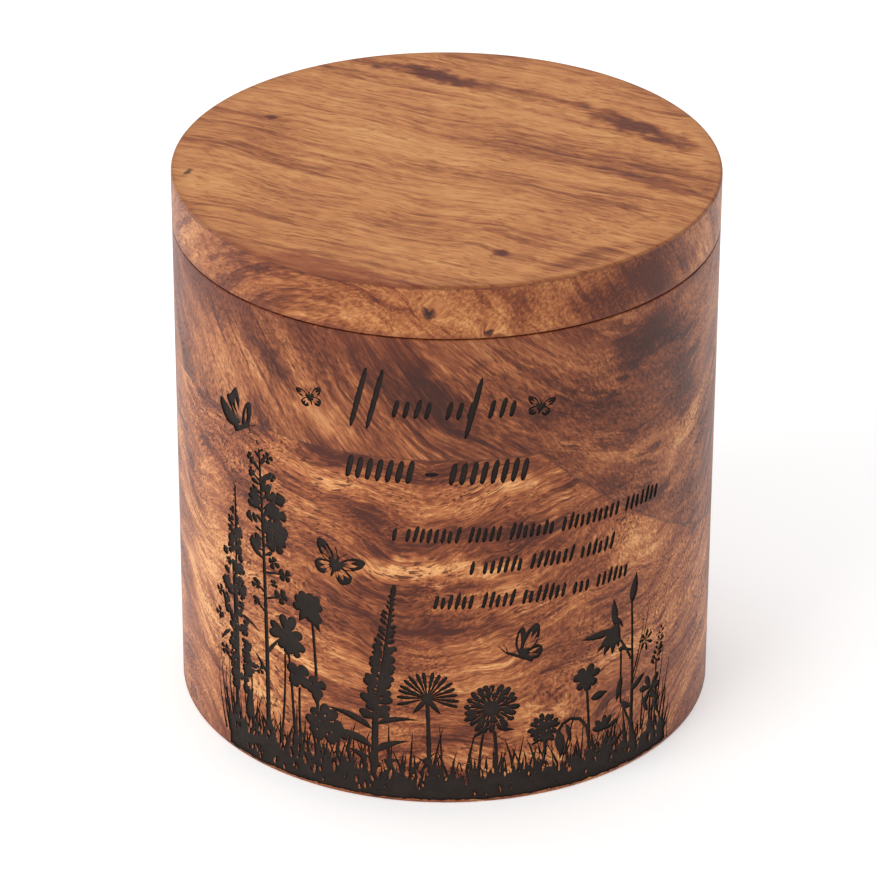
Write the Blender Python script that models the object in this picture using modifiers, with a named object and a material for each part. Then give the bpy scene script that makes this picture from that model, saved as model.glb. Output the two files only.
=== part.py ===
"""Turned wooden cremation urn box: a hollow body with an engraved meadow, and a lift-off lid.

Metres, +Z up. The origin is the centre of the underside, and the engraved front faces -Y.
"""

import math

import bmesh
import bpy
from mathutils import Vector
from mathutils.geometry import delaunay_2d_cdt

# The body
OUTER_RADIUS = 0.060
BODY_HEIGHT = 0.1140
WALL = 0.0095
FLOOR = 0.0100
CHAMBER_FILLET = 0.0040
FOOT_ROUNDING = 0.0012
RIM_CHAMFER = 0.0004

# The lid, which rests on the rim and is held in place by the spigot under it
LID_THICKNESS = 0.0122
LID_ROUNDING = 0.0008
LID_SEAT_GAP = 0.0003
SPIGOT_HEIGHT = 0.0080
SPIGOT_CLEARANCE = 0.0005
SPIGOT_CHAMFER = 0.0010

# The turning: flats round the circle, and straight lengths in a quarter round
TURN_STEPS = 72
ARC_LENGTHS = 2

# The engraved meadow. A place along the wall is measured round it from the front, in metres
ENGRAVING_DEPTH = 0.00045
GRASS_LEFT = -0.0560
GRASS_RIGHT = 0.0605
GRASS_MARGIN = 0.0008
GRASS_BED = 0.0040
GRASS_HEIGHT = 0.0070
GRASS_BLADES = 38
GRASS_BLADE_WIDTH = 0.0016
GRASS_LEAN = 0.22
STEM_WIDTH = 0.0008
STEM_LENGTHS = 3
ROOT_DEPTH = 0.0005

# Spires: place of the foot, place and height of the head, width, pairs of florets, bare share of the stem
SPIRES = (
    (-0.0520, -0.0510, 0.0680, 0.0090, 8, 0.10),
    (-0.0425, -0.0440, 0.0800, 0.0155, 9, 0.38),
    (-0.0152, -0.0114, 0.0530, 0.0120, 8, 0.18),
    (0.0550, 0.0560, 0.0290, 0.0064, 4, 0.40),
)
# Rosettes: place, height, radius, petals, turn in degrees
ROSETTES = (
    (-0.0365, 0.0350, 0.0068, 6, 10),
    (-0.0325, 0.0237, 0.0056, 5, 20),
    (-0.0270, 0.0145, 0.0056, 7, 5),
    (0.0334, 0.0250, 0.0040, 5, 20),
    (0.0512, 0.0165, 0.0036, 5, 30),
)
# Nodding flowers: place, height, radius, petals, turn in degrees
NODDING_FLOWERS = (
    (-0.0312, 0.0440, 0.0046, 4, 0),
    (0.0278, 0.0185, 0.0018, 3, 15),
    (0.0383, 0.0362, 0.0034, 3, -20),
)
# Umbels: place, height, radius, spokes
UMBELS = (
    (-0.0032, 0.0290, 0.0070, 13),
)
# Globes: place, height, radius, florets
GLOBES = (
    (0.0104, 0.0222, 0.0064, 10),
    (0.0227, 0.0158, 0.0036, 7),
)
# Stems out of the grass: place of the foot, place and height of the head, bow to the right
STEMS = (
    (-0.0287, -0.0312, 0.0440, 0.0008),
    (-0.0345, -0.0365, 0.0350, 0.0008),
    (-0.0325, -0.0325, 0.0237, 0.0008),
    (-0.0012, -0.0032, 0.0290, 0.0008),
    (0.0100, 0.0104, 0.0222, 0.0008),
    (0.0222, 0.0227, 0.0158, 0.0008),
    (0.0240, 0.0276, 0.0190, -0.0012),
    (0.0345, 0.0334, 0.0250, 0.0008),
    (0.0490, 0.0512, 0.0165, 0.0008),
    (0.0472, 0.0465, 0.0440, 0.0008),
)
# Twigs: place and height of the foot, place and height of the head, bow to the right
TWIGS = (
    (0.0385, 0.0385, 0.0400, 0.0435, 0.0),
    (0.0470, 0.0300, 0.0398, 0.0430, 0.0010),
)
# Leaves and buds: place and height of the foot, length, width, direction in degrees from the right
LEAVES = (
    (-0.0155, 0.0130, 0.0100, 0.0018, 140),
    (-0.0155, 0.0180, 0.0095, 0.0016, 157),
    (-0.0150, 0.0170, 0.0085, 0.0018, 22),
    (-0.0430, 0.0270, 0.0070, 0.0020, 35),
    (0.0342, 0.0170, 0.0062, 0.0019, 12),
    (0.0470, 0.0210, 0.0070, 0.0020, 128),
    (0.0470, 0.0230, 0.0062, 0.0020, 52),
    (0.0470, 0.0300, 0.0050, 0.0016, 60),
    (0.0463, 0.0420, 0.0095, 0.0026, 84),
)
# Butterflies over the meadow: place, height, span, turn in degrees
OPEN_BUTTERFLIES = (
    (-0.0240, 0.0575, 0.0115, -22),
)
FOLDED_BUTTERFLIES = (
    (0.0165, 0.0360, 0.0105, 12),
)
# Butterflies beside the first row of strokes: place, drop below the rim, span, turn in degrees
HUNG_OPEN_BUTTERFLIES = (
    (-0.0298, 0.0172, 0.0072, 18),
    (0.0212, 0.0172, 0.0072, -18),
)
HUNG_FOLDED_BUTTERFLIES = (
    (-0.0505, 0.0295, 0.0105, 8),
)

# Rows of strokes in place of an inscription: place of the left end, drop of the foot below the rim,
# height, width and pitch of the strokes, and the number of strokes in each group
STROKE_LEAN = math.radians(12)
TALL_STROKE = 1.35
GROUP_GAP = 0.9
INSCRIPTION_ROWS = (
    (-0.0215, 0.0195, 0.0062, 0.0009, 0.0033, (11,)),
    (-0.0215, 0.0340, 0.0048, 0.0010, 0.0027, (6, 6)),
    (-0.0112, 0.0492, 0.0036, 0.0008, 0.0025, (1, 5, 3, 4, 5, 3)),
    (0.0055, 0.0570, 0.0036, 0.0008, 0.0025, (1, 3, 3, 3)),
    (-0.0022, 0.0656, 0.0036, 0.0008, 0.0025, (3, 3, 4, 2, 3)),
)

# What follows from these sizes
TURN_ANGLE = 2 * math.pi / TURN_STEPS
FLAT_WIDTH = OUTER_RADIUS * TURN_ANGLE
BORE_RADIUS = OUTER_RADIUS - WALL
LID_SEAT = BODY_HEIGHT + LID_SEAT_GAP
LID_TOP = LID_SEAT + LID_THICKNESS
SPIGOT_RADIUS = BORE_RADIUS - SPIGOT_CLEARANCE
GRASS_FOOT = FOOT_ROUNDING + GRASS_MARGIN
GRASS_BED_TOP = GRASS_FOOT + GRASS_BED
ROOT = GRASS_BED_TOP - ROOT_DEPTH

# How far the cutter stands out of the wall, and how close two points of it may lie
CUTTER_PROUD = 0.0010
SNAP = 0.000001


def clear_scene():
    for thing in list(bpy.data.objects):
        bpy.data.objects.remove(thing)


def new_collection(name):
    made = bpy.data.collections.new(name)
    bpy.context.scene.collection.children.link(made)
    return made


def wood(name, colour, roughness):
    made = bpy.data.materials.new(name)
    made.use_nodes = True
    shader = made.node_tree.nodes["Principled BSDF"]
    shader.inputs["Base Color"].default_value = (*colour, 1.0)
    shader.inputs["Roughness"].default_value = roughness
    shader.inputs["Metallic"].default_value = 0.0
    return made


def quarter_round(centre_x, centre_z, radius, start, end):
    """Points of a quarter round in the turning plane, from one angle in degrees to the other."""
    angles = [math.radians(start + (end - start) * i / ARC_LENGTHS) for i in range(ARC_LENGTHS + 1)]
    return [(centre_x + radius * math.cos(a), centre_z + radius * math.sin(a)) for a in angles]


def turned(name, profile, material, collection):
    """A solid turned round the Z axis from a profile of (radius, height) that starts and ends on it."""
    mesh = bpy.data.meshes.new(name)
    edges = [(i, i + 1) for i in range(len(profile) - 1)]
    mesh.from_pydata([(x, 0.0, z) for x, z in profile], edges, [])
    solid = bpy.data.objects.new(name, mesh)
    collection.objects.link(solid)
    screw = solid.modifiers.new("Turning", "SCREW")
    screw.axis = "Z"
    screw.steps = screw.render_steps = TURN_STEPS
    screw.use_merge_vertices = True
    screw.merge_threshold = 0.00001
    screw.use_smooth_shade = True
    mesh.materials.append(material)
    return solid


def body_profile():
    """Out along the chamber's floor, up the bore, over the rim, down the wall and in underneath."""
    fillet_x, fillet_z = BORE_RADIUS - CHAMBER_FILLET, FLOOR + CHAMBER_FILLET
    profile = [(0.0, FLOOR)]
    profile += quarter_round(fillet_x, fillet_z, CHAMBER_FILLET, -90, 0)
    profile += [(BORE_RADIUS, BODY_HEIGHT - RIM_CHAMFER), (BORE_RADIUS + RIM_CHAMFER, BODY_HEIGHT)]
    profile += [(OUTER_RADIUS - RIM_CHAMFER, BODY_HEIGHT), (OUTER_RADIUS, BODY_HEIGHT - RIM_CHAMFER)]
    profile += quarter_round(OUTER_RADIUS - FOOT_ROUNDING, FOOT_ROUNDING, FOOT_ROUNDING, 0, -90)
    profile += [(0.0, 0.0)]
    return profile


def lid_profile():
    """Out along the top, round the edge, down the side, in under the disc and down round the spigot."""
    spigot_foot = LID_SEAT - SPIGOT_HEIGHT
    profile = [(0.0, LID_TOP)]
    profile += quarter_round(OUTER_RADIUS - LID_ROUNDING, LID_TOP - LID_ROUNDING, LID_ROUNDING, 90, 0)
    profile += [(OUTER_RADIUS, LID_SEAT + RIM_CHAMFER), (OUTER_RADIUS - RIM_CHAMFER, LID_SEAT)]
    profile += [(SPIGOT_RADIUS, LID_SEAT), (SPIGOT_RADIUS, spigot_foot + SPIGOT_CHAMFER)]
    profile += [(SPIGOT_RADIUS - SPIGOT_CHAMFER, spigot_foot), (0.0, spigot_foot)]
    return profile


def is_inside(point, outline):
    """Whether a point lies inside an outline, by the sides that it passes on its way out."""
    inside = False
    for (x0, z0), (x1, z1) in zip(outline, outline[1:] + outline[:1]):
        if (z0 > point.y) != (z1 > point.y) and point.x < x0 + (point.y - z0) * (x1 - x0) / (z1 - z0):
            inside = not inside
    return inside


def sides_of(triangles):
    """Every side of the triangles, in the direction in which its own triangle runs."""
    return {pair: None for corners in triangles for pair in zip(corners, corners[1:] + corners[:1])}


def rim_of(triangles):
    """The sides that only one triangle has."""
    sides = sides_of(triangles)
    return [(a, b) for a, b in sides if (b, a) not in sides]


def union_of(outlines):
    """The points and the edges round all that lies inside any of the outlines.

    The outlines run anticlockwise and may overlap.
    """
    points, faces = [], []
    for outline in outlines:
        faces.append(list(range(len(points), len(points) + len(outline))))
        points += [Vector(point) for point in outline]
    places, _, triangles, _, _, sources = delaunay_2d_cdt(points, [], faces, 0, SNAP)
    rim = rim_of([triangle for triangle, inside in zip(triangles, sources) if inside])
    number = {corner: i for i, corner in enumerate(sorted({corner for pair in rim for corner in pair}))}
    return [places[corner] for corner in number], [(number[a], number[b]) for a, b in rim]


def sheet_of(outlines):
    """The points and triangles of a flat sheet inside the outlines, cut where the cutter bends."""
    points, edges = union_of(outlines)
    low, high = min(point.y for point in points), max(point.y for point in points)
    across = [point.x / FLAT_WIDTH - 0.5 for point in points]
    for bend in range(math.ceil(min(across)), math.floor(max(across)) + 1):
        edges.append((len(points), len(points) + 1))
        x = (bend + 0.5) * FLAT_WIDTH
        points += [Vector((x, low)), Vector((x, high))]
    places, _, triangles, _, _, _ = delaunay_2d_cdt(points, edges, [], 0, SNAP)
    kept = []
    for triangle in triangles:
        centre = sum((places[corner] for corner in triangle), Vector((0.0, 0.0))) / 3
        if any(is_inside(centre, outline) for outline in outlines):
            kept.append(triangle)
    return places, kept


def rolled(arc, proud, height):
    """The place of a point this far round the wall, stood off by proud.

    The wall it follows bends at mid-flat, clear of the edges of the turned wall.
    """
    bend, share = divmod(arc / FLAT_WIDTH - 0.5, 1.0)
    corners = []
    for step in (bend + 0.5, bend + 1.5):
        angle = step * TURN_ANGLE
        corners.append(Vector((math.sin(angle), -math.cos(angle))) * (OUTER_RADIUS + proud))
    on_flat = corners[0].lerp(corners[1], share)
    return Vector((on_flat.x, on_flat.y, height))


def engraving_cutter(outlines, collection):
    """A cutter of these outlines, rolled round the wall."""
    places, triangles = sheet_of(outlines)
    count = len(places)
    floor = [rolled(place.x, -ENGRAVING_DEPTH, place.y) for place in places]
    top = [rolled(place.x, CUTTER_PROUD, place.y) for place in places]
    faces = [(c, b, a) for a, b, c in triangles]
    faces += [(a + count, b + count, c + count) for a, b, c in triangles]
    faces += [(a, b, b + count, a + count) for a, b in rim_of(triangles)]
    mesh = bpy.data.meshes.new("engraving_cutter")
    mesh.from_pydata(floor + top, [], faces)
    shape = bmesh.new()
    shape.from_mesh(mesh)
    loose = [vertex for vertex in shape.verts if not vertex.link_faces]
    bmesh.ops.delete(shape, geom=loose, context="VERTS")
    shape.to_mesh(mesh)
    shape.free()
    cutter = bpy.data.objects.new("engraving_cutter", mesh)
    cutter.hide_render = True
    cutter.display_type = "WIRE"
    collection.objects.link(cutter)
    return cutter


def polar(radius, angle):
    """The point this far from the middle, in a direction in degrees."""
    return radius * math.cos(math.radians(angle)), radius * math.sin(math.radians(angle))


def placed(points, x, z, angle):
    """Points turned by an angle in degrees and moved to (x, z)."""
    cos, sin = polar(1.0, angle)
    return [(x + u * cos - v * sin, z + u * sin + v * cos) for u, v in points]


def oval(x, z, length, width, angle=0.0, points=6):
    """An oval round (x, z) whose length is turned by an angle in degrees."""
    turns = [2 * math.pi * i / points for i in range(points)]
    return placed([(length / 2 * math.cos(a), width / 2 * math.sin(a)) for a in turns], x, z, angle)


def petal(x, z, length, width, angle):
    """A petal that starts at (x, z), widens and ends in a blunt tip."""
    lower = [(length * u, -width / 2 * v) for u, v in ((0.58, 1.0), (0.97, 0.45))]
    upper = [(u, -v) for u, v in reversed(lower)]
    return placed([(0.0, 0.0), *lower, *upper], x, z, angle)


def leaf(x, z, length, width, angle):
    """A leaf that starts at (x, z) and is pointed at both ends."""
    lower = [(length * u, -width / 2 * v) for u, v in ((0.25, 0.8), (0.55, 1.0))]
    upper = [(u, -v) for u, v in reversed(lower)]
    return placed([(0.0, 0.0), *lower, (length, 0.0), *upper], x, z, angle)


def stem(x, z, head_x, head_z, bow):
    """A thin stem from its foot to its head, which bows to the right in between."""
    shares = [i / STEM_LENGTHS for i in range(STEM_LENGTHS + 1)]
    middle = [(x + (head_x - x) * t + bow * 4 * t * (1 - t), z + (head_z - z) * t) for t in shares]
    right = [(u + STEM_WIDTH / 2, v) for u, v in middle]
    return right + [(u - STEM_WIDTH / 2, v) for u, v in reversed(middle)]


def spire(x, head_x, head_z, width, pairs, bare):
    """A flowering spire: a stem from the grass with pairs of florets that shrink towards its tip."""
    outlines = [stem(x, ROOT, head_x, head_z, 0.0)]
    for i in range(pairs):
        share = i / pairs
        along = bare + (1 - bare) * share
        place, height = x + (head_x - x) * along, ROOT + (head_z - ROOT) * along
        reach = width / 2 * (1 - 0.78 * share ** 1.6)
        for side in (-1, 1):
            turn = 90 - side * (72 - 30 * share + 9 * math.sin(2.3 * i + side))
            rise = 0.35 * width * share * (side > 0)
            outlines.append(petal(place, height + rise, reach, 0.62 * reach, turn))
    return outlines


def rosette(x, z, radius, petals, turn):
    """An open flower: a ring of petals round an eye."""
    width = 1.84 * radius * math.sin(math.pi / petals)
    ring = [petal(x, z, radius, width, turn + 360 * i / petals) for i in range(petals)]
    return [*ring, oval(x, z, 0.7 * radius, 0.7 * radius)]


def umbel(x, z, radius, spokes):
    """A round head of thin spokes, each with a club at its end."""
    club = [(0.0, -0.02), (0.7, -0.03), (0.95, -0.12), (0.95, 0.12), (0.7, 0.03), (0.0, 0.02)]
    spoke = [(radius * u, radius * v) for u, v in club]
    turns = [360 * i / spokes + 4 for i in range(spokes)]
    return [oval(x, z, 0.3 * radius, 0.3 * radius), *(placed(spoke, x, z, turn) for turn in turns)]


def globe(x, z, radius, florets):
    """A round head with a scalloped edge."""
    size = 3.2 * radius / florets
    edge = []
    for i in range(florets):
        u, v = polar(0.88 * radius, 360 * i / florets)
        edge.append(oval(x + u, z + v, size, size))
    return [*edge, oval(x, z, 1.8 * radius, 1.8 * radius, 0.0, 14)]


def nodding_flower(x, z, radius, petals, turn):
    """A flower that hangs its head: petals that fan downwards from a round cap."""
    length, width = 1.5 * radius, 0.8 * radius
    fan = [turn - 90 + 34 * (i - (petals - 1) / 2) for i in range(petals)]
    return [*(petal(x, z, length, width, angle) for angle in fan), oval(x, z, length, radius, turn)]


def feeler(x, z, length, angle):
    """A feeler that tapers to a point."""
    return placed([(0.0, -0.04 * length), (length, 0.0), (0.0, 0.04 * length)], x, z, angle)


def open_butterfly(x, z, span, turn):
    """A butterfly with its wings spread: two fore wings, two hind wings, a body and two feelers."""
    parts = []
    for side in (-1, 1):
        parts.append(petal(0.0, 0.0, 0.56 * span, 0.42 * span, 90 - side * 52))
        parts.append(petal(0.0, 0.0, 0.42 * span, 0.34 * span, 90 - side * 128))
        parts.append(feeler(0.0, 0.1 * span, 0.3 * span, 90 - side * 24))
    parts.append(oval(0.0, -0.05 * span, 0.5 * span, 0.11 * span, 90.0))
    return [placed(part, x, z, turn) for part in parts]


def folded_butterfly(x, z, span, turn):
    """A butterfly from the side: both pairs of wings held up together, a body and feelers."""
    parts = [
        petal(0.0, 0.0, 0.72 * span, 0.46 * span, 72),
        petal(0.0, 0.0, 0.50 * span, 0.42 * span, 22),
        petal(0.0, 0.0, 0.62 * span, 0.30 * span, 104),
        oval(0.02 * span, -0.02 * span, 0.6 * span, 0.1 * span, 10.0),
    ]
    parts += [feeler(-0.25 * span, -0.05 * span, 0.34 * span, angle) for angle in (118, 140)]
    return [placed(part, x, z, turn) for part in parts]


def grass():
    """The meadow's foot: a bed with uneven blades that lean over each other."""
    left, right = (GRASS_LEFT, GRASS_FOOT), (GRASS_RIGHT, GRASS_FOOT)
    outlines = [[left, right, (GRASS_RIGHT, GRASS_BED_TOP), (GRASS_LEFT, GRASS_BED_TOP)]]
    pitch = (GRASS_RIGHT - GRASS_LEFT - GRASS_BLADE_WIDTH) / (GRASS_BLADES - 1)
    for i in range(GRASS_BLADES):
        x = GRASS_LEFT + GRASS_BLADE_WIDTH / 2 + pitch * i
        height = GRASS_BED + GRASS_HEIGHT * (1.0 + 0.42 * math.sin(1.7 * i) + 0.34 * math.sin(0.61 * i + 1))
        lean = height * GRASS_LEAN * math.sin(2.4 * i)
        half, bend, knee = GRASS_BLADE_WIDTH / 2, lean * 0.35, GRASS_FOOT + height * 0.55
        outlines.append([
            (x - half, GRASS_FOOT), (x + half, GRASS_FOOT), (x + half * 0.7 + bend, knee),
            (x + lean, GRASS_FOOT + height), (x - half * 0.7 + bend, knee),
        ])
    return outlines


def flowers():
    """Every flower of the meadow, with its stem and leaves."""
    groups = (
        (spire, SPIRES), (rosette, ROSETTES), (nodding_flower, NODDING_FLOWERS),
        (umbel, UMBELS), (globe, GLOBES),
    )
    heads = [outline for draw, places in groups for place in places for outline in draw(*place)]
    stems = [stem(x, ROOT, head_x, head_z, bow) for x, head_x, head_z, bow in STEMS]
    return [*heads, *stems, *(stem(*place) for place in TWIGS), *(leaf(*place) for place in LEAVES)]


def butterflies():
    """Those of the meadow, and those that hang beside the first row of strokes."""
    outlines = []
    for draw, standing, hung in (
        (open_butterfly, OPEN_BUTTERFLIES, HUNG_OPEN_BUTTERFLIES),
        (folded_butterfly, FOLDED_BUTTERFLIES, HUNG_FOLDED_BUTTERFLIES),
    ):
        for place in standing:
            outlines += draw(*place)
        for x, drop, span, turn in hung:
            outlines += draw(x, BODY_HEIGHT - drop, span, turn)
    return outlines


def stroke(x, foot, height, width):
    """A plain leaning stroke."""
    lean = height * math.tan(STROKE_LEAN)
    return [(x, foot), (x + width, foot), (x + width + lean, foot + height), (x + lean, foot + height)]


def inscription():
    """Rows of leaning strokes in groups. Every fourth stroke of a group is a little taller."""
    for left, drop, height, width, pitch, groups in INSCRIPTION_ROWS:
        x = left
        for group, strokes in enumerate(groups):
            for i in range(strokes):
                is_tall = (i * 3 + group) % 4 == 0
                stroke_height = height * (TALL_STROKE if is_tall else 1.0)
                yield stroke(x, BODY_HEIGHT - drop, stroke_height, width)
                x += pitch
            x += pitch * GROUP_GAP


def main():
    clear_scene()
    urn = new_collection("cremation_urn_box")
    cutters = new_collection("cutters")
    body = turned("urn_body", body_profile(), wood("body_wood", (0.32, 0.14, 0.07), 0.45), urn)
    turned("urn_lid", lid_profile(), wood("lid_wood", (0.42, 0.20, 0.10), 0.45), urn)
    figures = [*grass(), *flowers(), *butterflies(), *inscription()]
    cut = body.modifiers.new("Engraving", "BOOLEAN")
    cut.operation = "DIFFERENCE"
    cut.object = engraving_cutter(figures, cutters)


main()
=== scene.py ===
"""Dresses the turned cremation urn box: the engraved body, the flat lid, and a plain studio.

Metres, +Z up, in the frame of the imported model. The engraved front faces -Y. A place in the engraved
drawing is (arc, height) in millimetres: the arc is measured round the wall from the front, to the right.
"""

import logging
import math
from collections.abc import Iterable, Sequence
from dataclasses import dataclass, field
from enum import Enum

import bmesh
import bpy
import numpy as np
from bpy.types import Material, Mesh, Node, NodeTree, Object
from bpy.types import NodeSocket as Socket
from mathutils import Matrix, Vector
from mathutils.geometry import delaunay_2d_cdt


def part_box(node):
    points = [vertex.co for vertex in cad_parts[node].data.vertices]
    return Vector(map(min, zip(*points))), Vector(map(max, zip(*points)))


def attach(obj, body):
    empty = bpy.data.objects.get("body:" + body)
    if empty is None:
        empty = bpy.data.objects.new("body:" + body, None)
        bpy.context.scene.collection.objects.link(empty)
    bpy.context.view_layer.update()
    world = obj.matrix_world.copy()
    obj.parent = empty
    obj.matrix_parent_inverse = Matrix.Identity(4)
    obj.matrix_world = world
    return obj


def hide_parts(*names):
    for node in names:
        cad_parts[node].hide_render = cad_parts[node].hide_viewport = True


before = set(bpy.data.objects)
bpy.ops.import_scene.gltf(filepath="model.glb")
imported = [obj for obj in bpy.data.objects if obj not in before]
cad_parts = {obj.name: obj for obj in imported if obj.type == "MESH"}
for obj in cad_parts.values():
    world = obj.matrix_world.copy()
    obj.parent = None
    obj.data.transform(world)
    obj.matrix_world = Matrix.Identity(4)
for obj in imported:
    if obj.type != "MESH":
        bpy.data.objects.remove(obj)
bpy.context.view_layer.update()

LOG = logging.getLogger("urn")
MM = 0.001
ROOT_BODY = "root"
BODY_NODE = "urn_body"
LID_NODE = "urn_lid"
SEAM = 0.3
ROUND_STEPS = 256
SHARP_ANGLE = math.radians(32)
# How far the darkened edges reach, in millimetres: painted shade at the foot and at the seam between lid
# and body, and a darker line along the lid's top edge.
EDGE_DARKENING_REACH = 0.9
NEARLY_UP = (0.13, 0.21, 0.97)
Point = tuple[float, float]
Pair = tuple[int, int]
Triple = tuple[float, float, float]
Colour = tuple[float, float, float]
Input = Socket | float | tuple[float, ...]


def linear(colour: Colour) -> tuple[float, float, float, float]:
    """A colour for a shader, from its screen values.

    Args:
        colour: Red, green and blue on a screen, from 0 to 255.

    Returns:
        The same colour in linear light, with an alpha of one.
    """
    shares = [value / 255 for value in colour]
    light = [v / 12.92 if v <= 0.04045 else ((v + 0.055) / 1.055) ** 2.4 for v in shares]
    return (*light, 1.0)


class Graph:
    """A node tree that is written as calls, each of which adds a node."""

    def __init__(self, tree: NodeTree) -> None:
        """Start on an existing tree."""
        self.tree = tree

    def node(self, kind: str, links: dict | None = None, **settings: object) -> Node:
        """Add a node.

        Args:
            kind: The node's type name.
            links: An output socket or a plain value for each input, by the input's name or number.
            **settings: Properties of the node, set before its inputs.

        Returns:
            The new node.
        """
        made = self.tree.nodes.new(kind)
        for name, value in settings.items():
            setattr(made, name, value)
        for key, value in (links or {}).items():
            socket = made.inputs[key]
            if isinstance(value, Socket):
                self.tree.links.new(value, socket)
            else:
                socket.default_value = value
        return made

    def math(self, operation: str, a: Input, b: Input = 0.0) -> Socket:
        """Add a sum on two numbers and return its result."""
        return self.node("ShaderNodeMath", {0: a, 1: b}, operation=operation).outputs[0]

    def product(self, first: Input, *others: Input) -> Input:
        """Multiply a few numbers.

        Args:
            first: The first number.
            *others: The numbers that it is multiplied by, in order.

        Returns:
            Their product.
        """
        result = first
        for other in others:
            result = self.math("MULTIPLY", result, other)
        return result

    def vector(self, operation: str, a: Input, b: Input) -> Socket:
        """Add a sum on two vectors and return the vector."""
        return self.node("ShaderNodeVectorMath", {0: a, 1: b}, operation=operation).outputs[0]

    def scaled(self, a: Input, share: Input) -> Socket:
        """Scale a vector by a number."""
        return self.node("ShaderNodeVectorMath", {0: a, "Scale": share}, operation="SCALE").outputs[0]

    def total(self, parts: Iterable[tuple[Socket, float]], start: Input = 0.0) -> Input:
        """Add up sockets, each with its own weight.

        Args:
            parts: Each socket with its weight.
            start: The value that they are added to.

        Returns:
            The sum.
        """
        total = start
        for socket, weight in parts:
            links = {0: socket, 1: weight, 2: total}
            total = self.node("ShaderNodeMath", links, operation="MULTIPLY_ADD").outputs[0]
        return total


class WoodGraph(Graph):
    """The nodes that the finishes share."""

    def noise(self, vector: Input, scale: float = 1.0, detail: float = 2.0, roughness: float = 0.5) -> Node:
        """Add a noise texture and return its node."""
        links = {"Vector": vector, "Scale": scale, "Detail": detail, "Roughness": roughness}
        return self.node("ShaderNodeTexNoise", links)

    def grained(self, vector: Input, scale: Triple, detail: float, roughness: float = 0.5) -> Socket:
        """Noise with its own scale along each axis of the board."""
        return self.noise(self.vector("MULTIPLY", vector, scale), 1.0, detail, roughness).outputs["Fac"]

    def wander(self, vector: Input, scale: float, reach: float) -> Socket:
        """A slow random push of a place, as a vector no longer than about the reach."""
        push = self.vector("SUBTRACT", self.noise(vector, scale, 1.0).outputs["Color"], (0.5, 0.5, 0.5))
        return self.scaled(push, 2 * reach)

    def between(self, value: Input, low: float, high: float) -> Socket:
        """How far a value has come from low to high, from 0 to 1, eased at both ends."""
        links = {"Value": value, "From Min": low, "From Max": high}
        return self.node("ShaderNodeMapRange", links, interpolation_type="SMOOTHSTEP").outputs[0]

    def mix(self, share: Input, a: Input, b: Input) -> Socket:
        """Mix two colours."""
        return self.node("ShaderNodeMix", {0: share, 6: a, 7: b}, data_type="RGBA").outputs[2]

    def blend(self, share: Input, a: Input, b: Input) -> Socket:
        """Mix two numbers."""
        return self.node("ShaderNodeMix", {0: share, 2: a, 3: b}).outputs[0]

    def ramp(self, share: Input, stops: Sequence[tuple[float, Colour]]) -> Socket:
        """A colour from a row of stops.

        Args:
            share: Where along the row the colour is taken.
            stops: The place and the colour of each stop.

        Returns:
            The colour.
        """
        made = self.node("ShaderNodeValToRGB", {0: share})
        row = made.color_ramp.elements
        while len(row) < len(stops):
            row.new(1.0)
        for element, (place, colour) in zip(row, stops):
            element.position = place
            element.color = linear(colour)
        return made.outputs[0]

    def place_in_mm(self) -> Socket:
        """The place on the object, in millimetres."""
        return self.scaled(self.node("ShaderNodeTexCoord").outputs["Object"], 1 / MM)

    def bump(self, height: Input, strength: float, depth: float) -> Socket:
        """The normal of a fine relief, whose depth is in metres."""
        links = {"Height": height, "Strength": strength, "Distance": depth}
        return self.node("ShaderNodeBump", links).outputs[0]


def axes_of(along: Triple, through: Triple) -> Matrix:
    """Axes of a board or a mark.

    Args:
        along: The direction of the first axis.
        through: The direction that the third axis is as near to as can be.

    Returns:
        The three axes as rows.
    """
    first = Vector(along).normalized()
    third = Vector(through)
    third = (third - third.project(first)).normalized()
    return Matrix((first, third.cross(first), third))


@dataclass(frozen=True)
class Mark:
    """A knot, a smudge, a bright patch in the wood, or a painted highlight: a soft oval.

    Attributes:
        centre: Its middle, in millimetres.
        half: Half its length, half its depth into the wood, and half its height.
        along: The direction of its length.
        shift: How much paler it makes the wood, or darker where it is below zero.
        stain: How much of its own colour it has, from 0 to 1.
        bulge: How far it pushes the layers round it, in millimetres.
        ragged: How uneven its edge is, in millimetres.
        colour: Its own colour.
    """

    centre: Triple
    half: Triple
    along: Triple
    shift: float = 0.0
    stain: float = 0.0
    bulge: float = 0.0
    ragged: float = 2.0
    colour: Colour = (40, 22, 17)

    def mask(self, graph: WoodGraph, place: Socket) -> Socket:
        """The soft oval with its uneven edge, from 0 outside it to 1 in its middle."""
        stray = graph.wander(place, 0.45 / max(self.ragged, 0.3), 1.6 * self.ragged)
        return graph.between(self.away(graph, graph.vector("ADD", place, stray)), 1.0, 0.15)

    def push(self, graph: WoodGraph, place: Socket, through: Vector) -> Socket:
        """How the mark pushes the layers round it, as a vector."""
        share = graph.between(self.away(graph, place), 2.4, 0.3)
        return graph.scaled(tuple(through * self.bulge), share)

    def away(self, graph: WoodGraph, place: Socket) -> Socket:
        """How far a place lies from the mark's middle, where its edge is at 1.

        Args:
            graph: The material's tree.
            place: The place on the object, in millimetres.

        Returns:
            The distance as a share.
        """
        shifted = graph.vector("SUBTRACT", place, self.centre)
        turn = axes_of(self.along, NEARLY_UP).to_euler()
        turned = graph.node("ShaderNodeMapping", {"Vector": shifted, "Rotation": turn}).outputs[0]
        unit = graph.vector("DIVIDE", turned, self.half)
        return graph.node("ShaderNodeVectorMath", {0: unit}, operation="LENGTH").outputs["Value"]


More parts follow.
